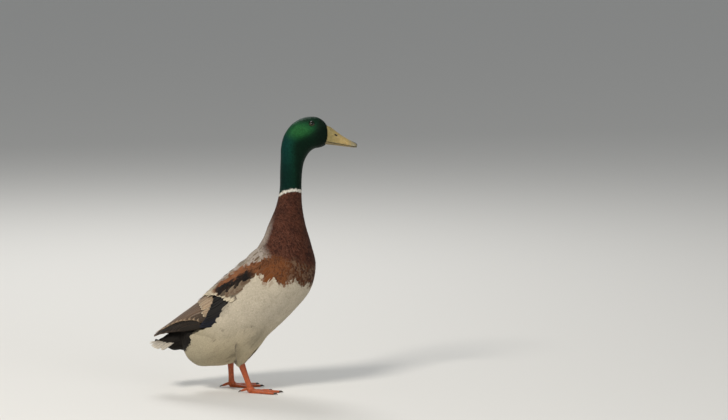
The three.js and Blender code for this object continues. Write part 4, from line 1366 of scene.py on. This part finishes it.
def make_bill(upper):
    name = "bill_top" if upper else "bill_bottom"
    bm = bmesh.new()
    loft(bm, bill_rings(upper, 56, 60))
    if upper:
        nail = bmesh.ops.create_uvsphere(bm, u_segments=24, v_segments=16, radius=MM)["verts"]
        place = Matrix.Translation(Vector((186.5 + SHIFT, 0, 460.4)) * MM)
        bmesh.ops.transform(
            bm, matrix=place @ Matrix.Rotation(0.45, 4, "Y") @ Matrix.Diagonal((5.4, 3.4, 2.6, 1)), verts=nail
        )
    piece = blended(object_from(bm, name), 0.55, 5, name)
    points = points_of(piece.data)
    x = points[:, 0] / MM - SHIFT
    y = np.abs(points[:, 1]) / MM
    z = points[:, 2] / MM
    olive = linear("#877848")
    yellow = linear("#a38c58")
    colours = mixed(olive, yellow, smooth(140, 165, x))
    colours = mixed(colours, linear("#8b7f5e"), smooth(172, 184, x))
    mouth = MOUTH_BACK.z + (x - MOUTH_BACK.x) * (MOUTH_TIP.z - MOUTH_BACK.z) / (MOUTH_TIP.x - MOUTH_BACK.x)
    off_mouth = np.abs(z - mouth)
    colours = mixed(colours, linear("#57503a"), smooth(1.8, 0.5, off_mouth) * 0.7)
    if upper:
        # the nostril is an oval pit, its long side down the bill
        slope = math.atan2(11.6, 63) + 0.35
        along = (x - NOSTRIL[0]) * math.cos(slope) - (z - NOSTRIL[2]) * math.sin(slope)
        over = (x - NOSTRIL[0]) * math.sin(slope) + (z - NOSTRIL[2]) * math.cos(slope)
        off = np.hypot(along / 3.8, over / 1.5)
        near_side = smooth(3, 5, y)
        pit = smooth(1.1, 0.55, off) * near_side
        rim = smooth(1.9, 1.35, off) * smooth(0.9, 1.2, off) * near_side
        points[:, 1] -= np.sign(points[:, 1]) * (pit * 1.6 - rim * 0.3) * MM
        move_points(piece.data, points)
        # the pit is painted near black, as painted shade inside the open nostril
        colours = mixed(colours, linear("#17120b"), pit)
        # the dark nail at the tip, and a dusky ridge at the base
        nail = smooth(1.25, 0.95, np.hypot((x - 187.5) / 6.5, y / 4.2)) * smooth(456.5, 458.5, z)
        colours = mixed(colours, linear("#1c1710"), nail)
        colours = mixed(colours, linear("#655734"), smooth(139, 133, x) * 0.7)
    else:
        colours = mixed(colours, linear("#6b5c3c"), np.full(len(x), 0.7))
    tinted(piece.data, colours)
    return placed(piece, BILL, "bill_horn", "bill_upper" if upper else "bill_lower")


# legs


TOES = (("inner", -27, 39, 3.0), ("middle", -1, 54, 3.4), ("outer", 24, 49, 3.1))
TOE_HEIGHT = 2.2
WEB_THICK = 1.3


def tube_rings(points, radii, steps, segments):
    """Rings of a limb along a smooth curve through a few points."""
    form = Limb(points, radii)
    angle = np.linspace(0, 2 * math.pi, segments, endpoint=False)
    return [form.point(np.full(segments, r), angle) for r in np.linspace(0, form.last, steps)]


def toe_way(turn, side):
    """The level direction of a toe that turns outwards by an angle in degrees."""
    return np.array([math.cos(math.radians(turn)), side * math.sin(math.radians(turn)), 0])


def hind_toe(ankle, side):
    """Root, knuckle and tip of the small toe behind."""
    steps = ((-3, -2, -1), (-10, -3.2, -3.4), (-17, -4.4, -5.8))
    return [ankle + np.array([x, y * side, z]) for x, y, z in steps]


def make_leg(side):
    word = WORDS[side]
    hock = np.array(LEFT_HOCK if side > 0 else RIGHT_HOCK, float)
    ankle = np.array(LEFT_ANKLE if side > 0 else RIGHT_ANKLE, float)
    down = (ankle - hock) / np.linalg.norm(ankle - hock)
    curve = [hock - down * 2] + [hock + (ankle - hock) * s for s in (0.16, 0.55, 0.88)] + [ankle + down]
    radii = [(6.2, 5.6), (6.4, 5.2), (5.2, 3.9), (5.4, 4.4), (6.2, 5.4)]
    bm = bmesh.new()
    loft(bm, tube_rings(curve, radii, 40, 28))
    knob = bmesh.ops.create_uvsphere(bm, u_segments=24, v_segments=16, radius=MM)["verts"]
    middle = Matrix.Translation(Vector((ankle[0] + 1 + SHIFT, ankle[1], 6.2)) * MM)
    bmesh.ops.transform(bm, matrix=middle @ Matrix.Diagonal((7.4, 6.6, 6.1, 1)), verts=knob)
    for _, turn, length, radius in TOES:
        ahead = toe_way(turn, side)
        root = np.array([ankle[0], ankle[1], 0])
        joints = (0.02, 0.3, 0.42, 0.62, 0.72, 1.0)
        heights = (5, TOE_HEIGHT + 0.9, TOE_HEIGHT + 0.6, TOE_HEIGHT + 0.2, TOE_HEIGHT + 0.1, TOE_HEIGHT)
        thick = (1.3, 1.0, 1.1, 0.88, 0.98, 0.68)
        places = [root + ahead * length * j + np.array([0, 0, h]) for j, h in zip(joints, heights)]
        loft(bm, tube_rings(places, [(radius * k, radius * k) for k in thick], 24, 16))
    hind = hind_toe(ankle, side)
    loft(bm, tube_rings(hind, [(2.6, 2.4), (2.6, 2.2), (1.7, 1.6)], 12, 14))
    add_web(bm, ankle, side)
    piece = blended(object_from(bm, f"leg_{word}"), 0.62, 3, f"leg_{word}")
    points = points_of(piece.data)
    points[:, 2] = np.maximum(points[:, 2], 0.0)
    move_points(piece.data, points)
    z = points[:, 2] / MM
    # darker up the shank towards the hock: painted shade under the belly
    colours = mixed(linear("#b9541c"), linear("#9c4317"), smooth(20, 55, z))
    reach = np.hypot(points[:, 0] / MM - SHIFT - ankle[0], points[:, 1] / MM - ankle[1])
    web = smooth(2.2, 1.6, z) * smooth(14, 24, reach)
    colours = mixed(colours, linear("#8c4420"), web * 0.6)
    colours = colours * (0.88 + 0.24 * patchy(points, 2.5))[:, None]
    tinted(piece.data, colours)
    placed(piece, LEG, "leg_skin", f"shank_{word}", f"foot_{word}")
    make_claws(side, ankle)


def add_web(bm, ankle, side):
    """The web as a thin plate between the toes, its free edge drawn in between the tips."""
    tips = []
    for _, turn, length, _ in TOES:
        tips.append(toe_way(turn, side)[:2] * length * 0.955)
    outline = [np.array([-3, -2.5 * side])]
    for here, after in zip(tips, tips[1:]):
        pull = (here + after) * 0.44
        for t in np.linspace(0, 1, 9)[:-1]:
            outline.append(here * (1 - t) ** 2 + pull * 2 * t * (1 - t) + after * t**2)
    outline += [tips[-1], np.array([-3, 2.5 * side])]
    flat = [Vector((ankle[0] + p[0] + SHIFT, ankle[1] + p[1], 0.0)) * MM for p in outline]
    corners = [bm.verts.new(p) for p in flat]
    made = [bm.faces.new([corners[i] for i in tri]) for tri in tessellate_polygon([flat])]
    thick = bmesh.ops.extrude_face_region(bm, geom=made)["geom"]
    raised = [v for v in thick if isinstance(v, bmesh.types.BMVert)]
    bmesh.ops.translate(bm, verts=raised, vec=(0, 0, (WEB_THICK + 0.2) * MM))


def make_claws(side, ankle):
    claws = []
    for name, turn, length, radius in TOES:
        ahead = toe_way(turn, side)
        root = np.array([ankle[0], ankle[1], TOE_HEIGHT + 0.1]) + ahead * length
        claws.append((name, root, ahead, 7.5, radius * 0.62))
    _, knuckle, tip = hind_toe(ankle, side)
    behind = (tip - knuckle) / np.linalg.norm(tip - knuckle)
    claws.append(("hind", tip, behind, 5.5, 1.5))
    rise = np.array([0, 0, 1.0])
    for name, root, ahead, length, radius in claws:
        middle = root + ahead * length * 0.5 + rise * 0.4
        places = [root - ahead * 0.8, middle, root + ahead * length - rise * 0.9]
        radii = [(radius, radius * 0.8), (radius * 0.75, radius * 0.6), (0.35, 0.3)]
        bm = bmesh.new()
        loft(bm, tube_rings(places, radii, 14, 16))
        piece = object_from(bm, f"nail_{name}_{WORDS[side]}")
        tinted(piece.data, np.tile(linear("#3a2a1e"), (len(piece.data.vertices), 1)))
        placed(piece, CLAW, "claw_horn", f"claw_{name}_{WORDS[side]}")


# the bird


BODY_TREE = tree_of(form_rings(body, np.linspace(0, 10, 60), 64, np.zeros(60)), "body_guide")
THIGH_ROWS = sphere_rows()
make_skin()
make_coats()
make_wing_base()
for side in (1, -1):
    make_wing(side)
    make_eye(side)
    make_lids(side)
    make_leg(side)
make_tail()
make_bill(True)
make_bill(False)


# studio


FLOOR_REACH = 40.0


def make_stage():
    """A wide pale paper floor, which fills the view from every side."""
    bm = bmesh.new()
    bmesh.ops.create_grid(bm, x_segments=1, y_segments=1, size=FLOOR_REACH)
    piece = object_from(bm, "studio_floor")
    piece.data.materials.append(floor_material())


def add_light(name, place, aim, size, watts, colour=(1, 1, 1)):
    lamp = bpy.data.lights.new(name, "AREA")
    lamp.shape = "DISK"
    lamp.size = size
    lamp.energy = watts
    lamp.color = colour
    holder = bpy.data.objects.new(name, lamp)
    holder.location = place
    holder.rotation_euler = (Vector(aim) - Vector(place)).to_track_quat("-Z", "Y").to_euler()
    bpy.context.collection.objects.link(holder)


def make_lights():
    middle = (0.0, 0.0, 0.25)
    add_light("key", (-1.5, -2.3, 2.9), middle, 1.0, 104, (1.0, 0.96, 0.9))
    add_light("fill", (2.6, -2.6, 1.2), middle, 2.2, 26, (0.94, 0.97, 1.0))
    add_light("rim", (-0.6, 2.2, 2.4), middle, 1.4, 40)
    world = bpy.data.worlds.new("studio")
    world.use_nodes = True
    world.node_tree.nodes["Background"].inputs["Color"].default_value = (*linear("#e6eaee"), 1)
    world.node_tree.nodes["Background"].inputs["Strength"].default_value = 0.38
    bpy.context.scene.world = world


def make_camera():
    """Stands level with the photographer: a long lens from the bird's right, a little above."""
    wide = PHOTO_WIDTH * MM_PER_PIXEL * MM
    right = (PHOTO_WIDTH / 2 - BIRD_PIXEL[0]) * MM_PER_PIXEL * MM
    up = (BIRD_PIXEL[1] - PHOTO_HEIGHT / 2) * MM_PER_PIXEL * MM / math.cos(CAMERA_RISE)
    target = Vector((right, 0, up))
    back = Vector((0, -math.cos(CAMERA_RISE), math.sin(CAMERA_RISE))) * CAMERA_AWAY
    lens = bpy.data.cameras.new("photographer")
    lens.sensor_width = SENSOR
    lens.lens = SENSOR * CAMERA_AWAY / wide
    lens.clip_end = 50
    camera = bpy.data.objects.new("photographer", lens)
    camera.location = target + back
    camera.rotation_euler = (target - camera.location).to_track_quat("-Z", "Y").to_euler()
    bpy.context.collection.objects.link(camera)
    bpy.context.scene.camera = camera


make_stage()
make_lights()
make_camera()
bpy.context.scene.view_settings.view_transform = "Standard"
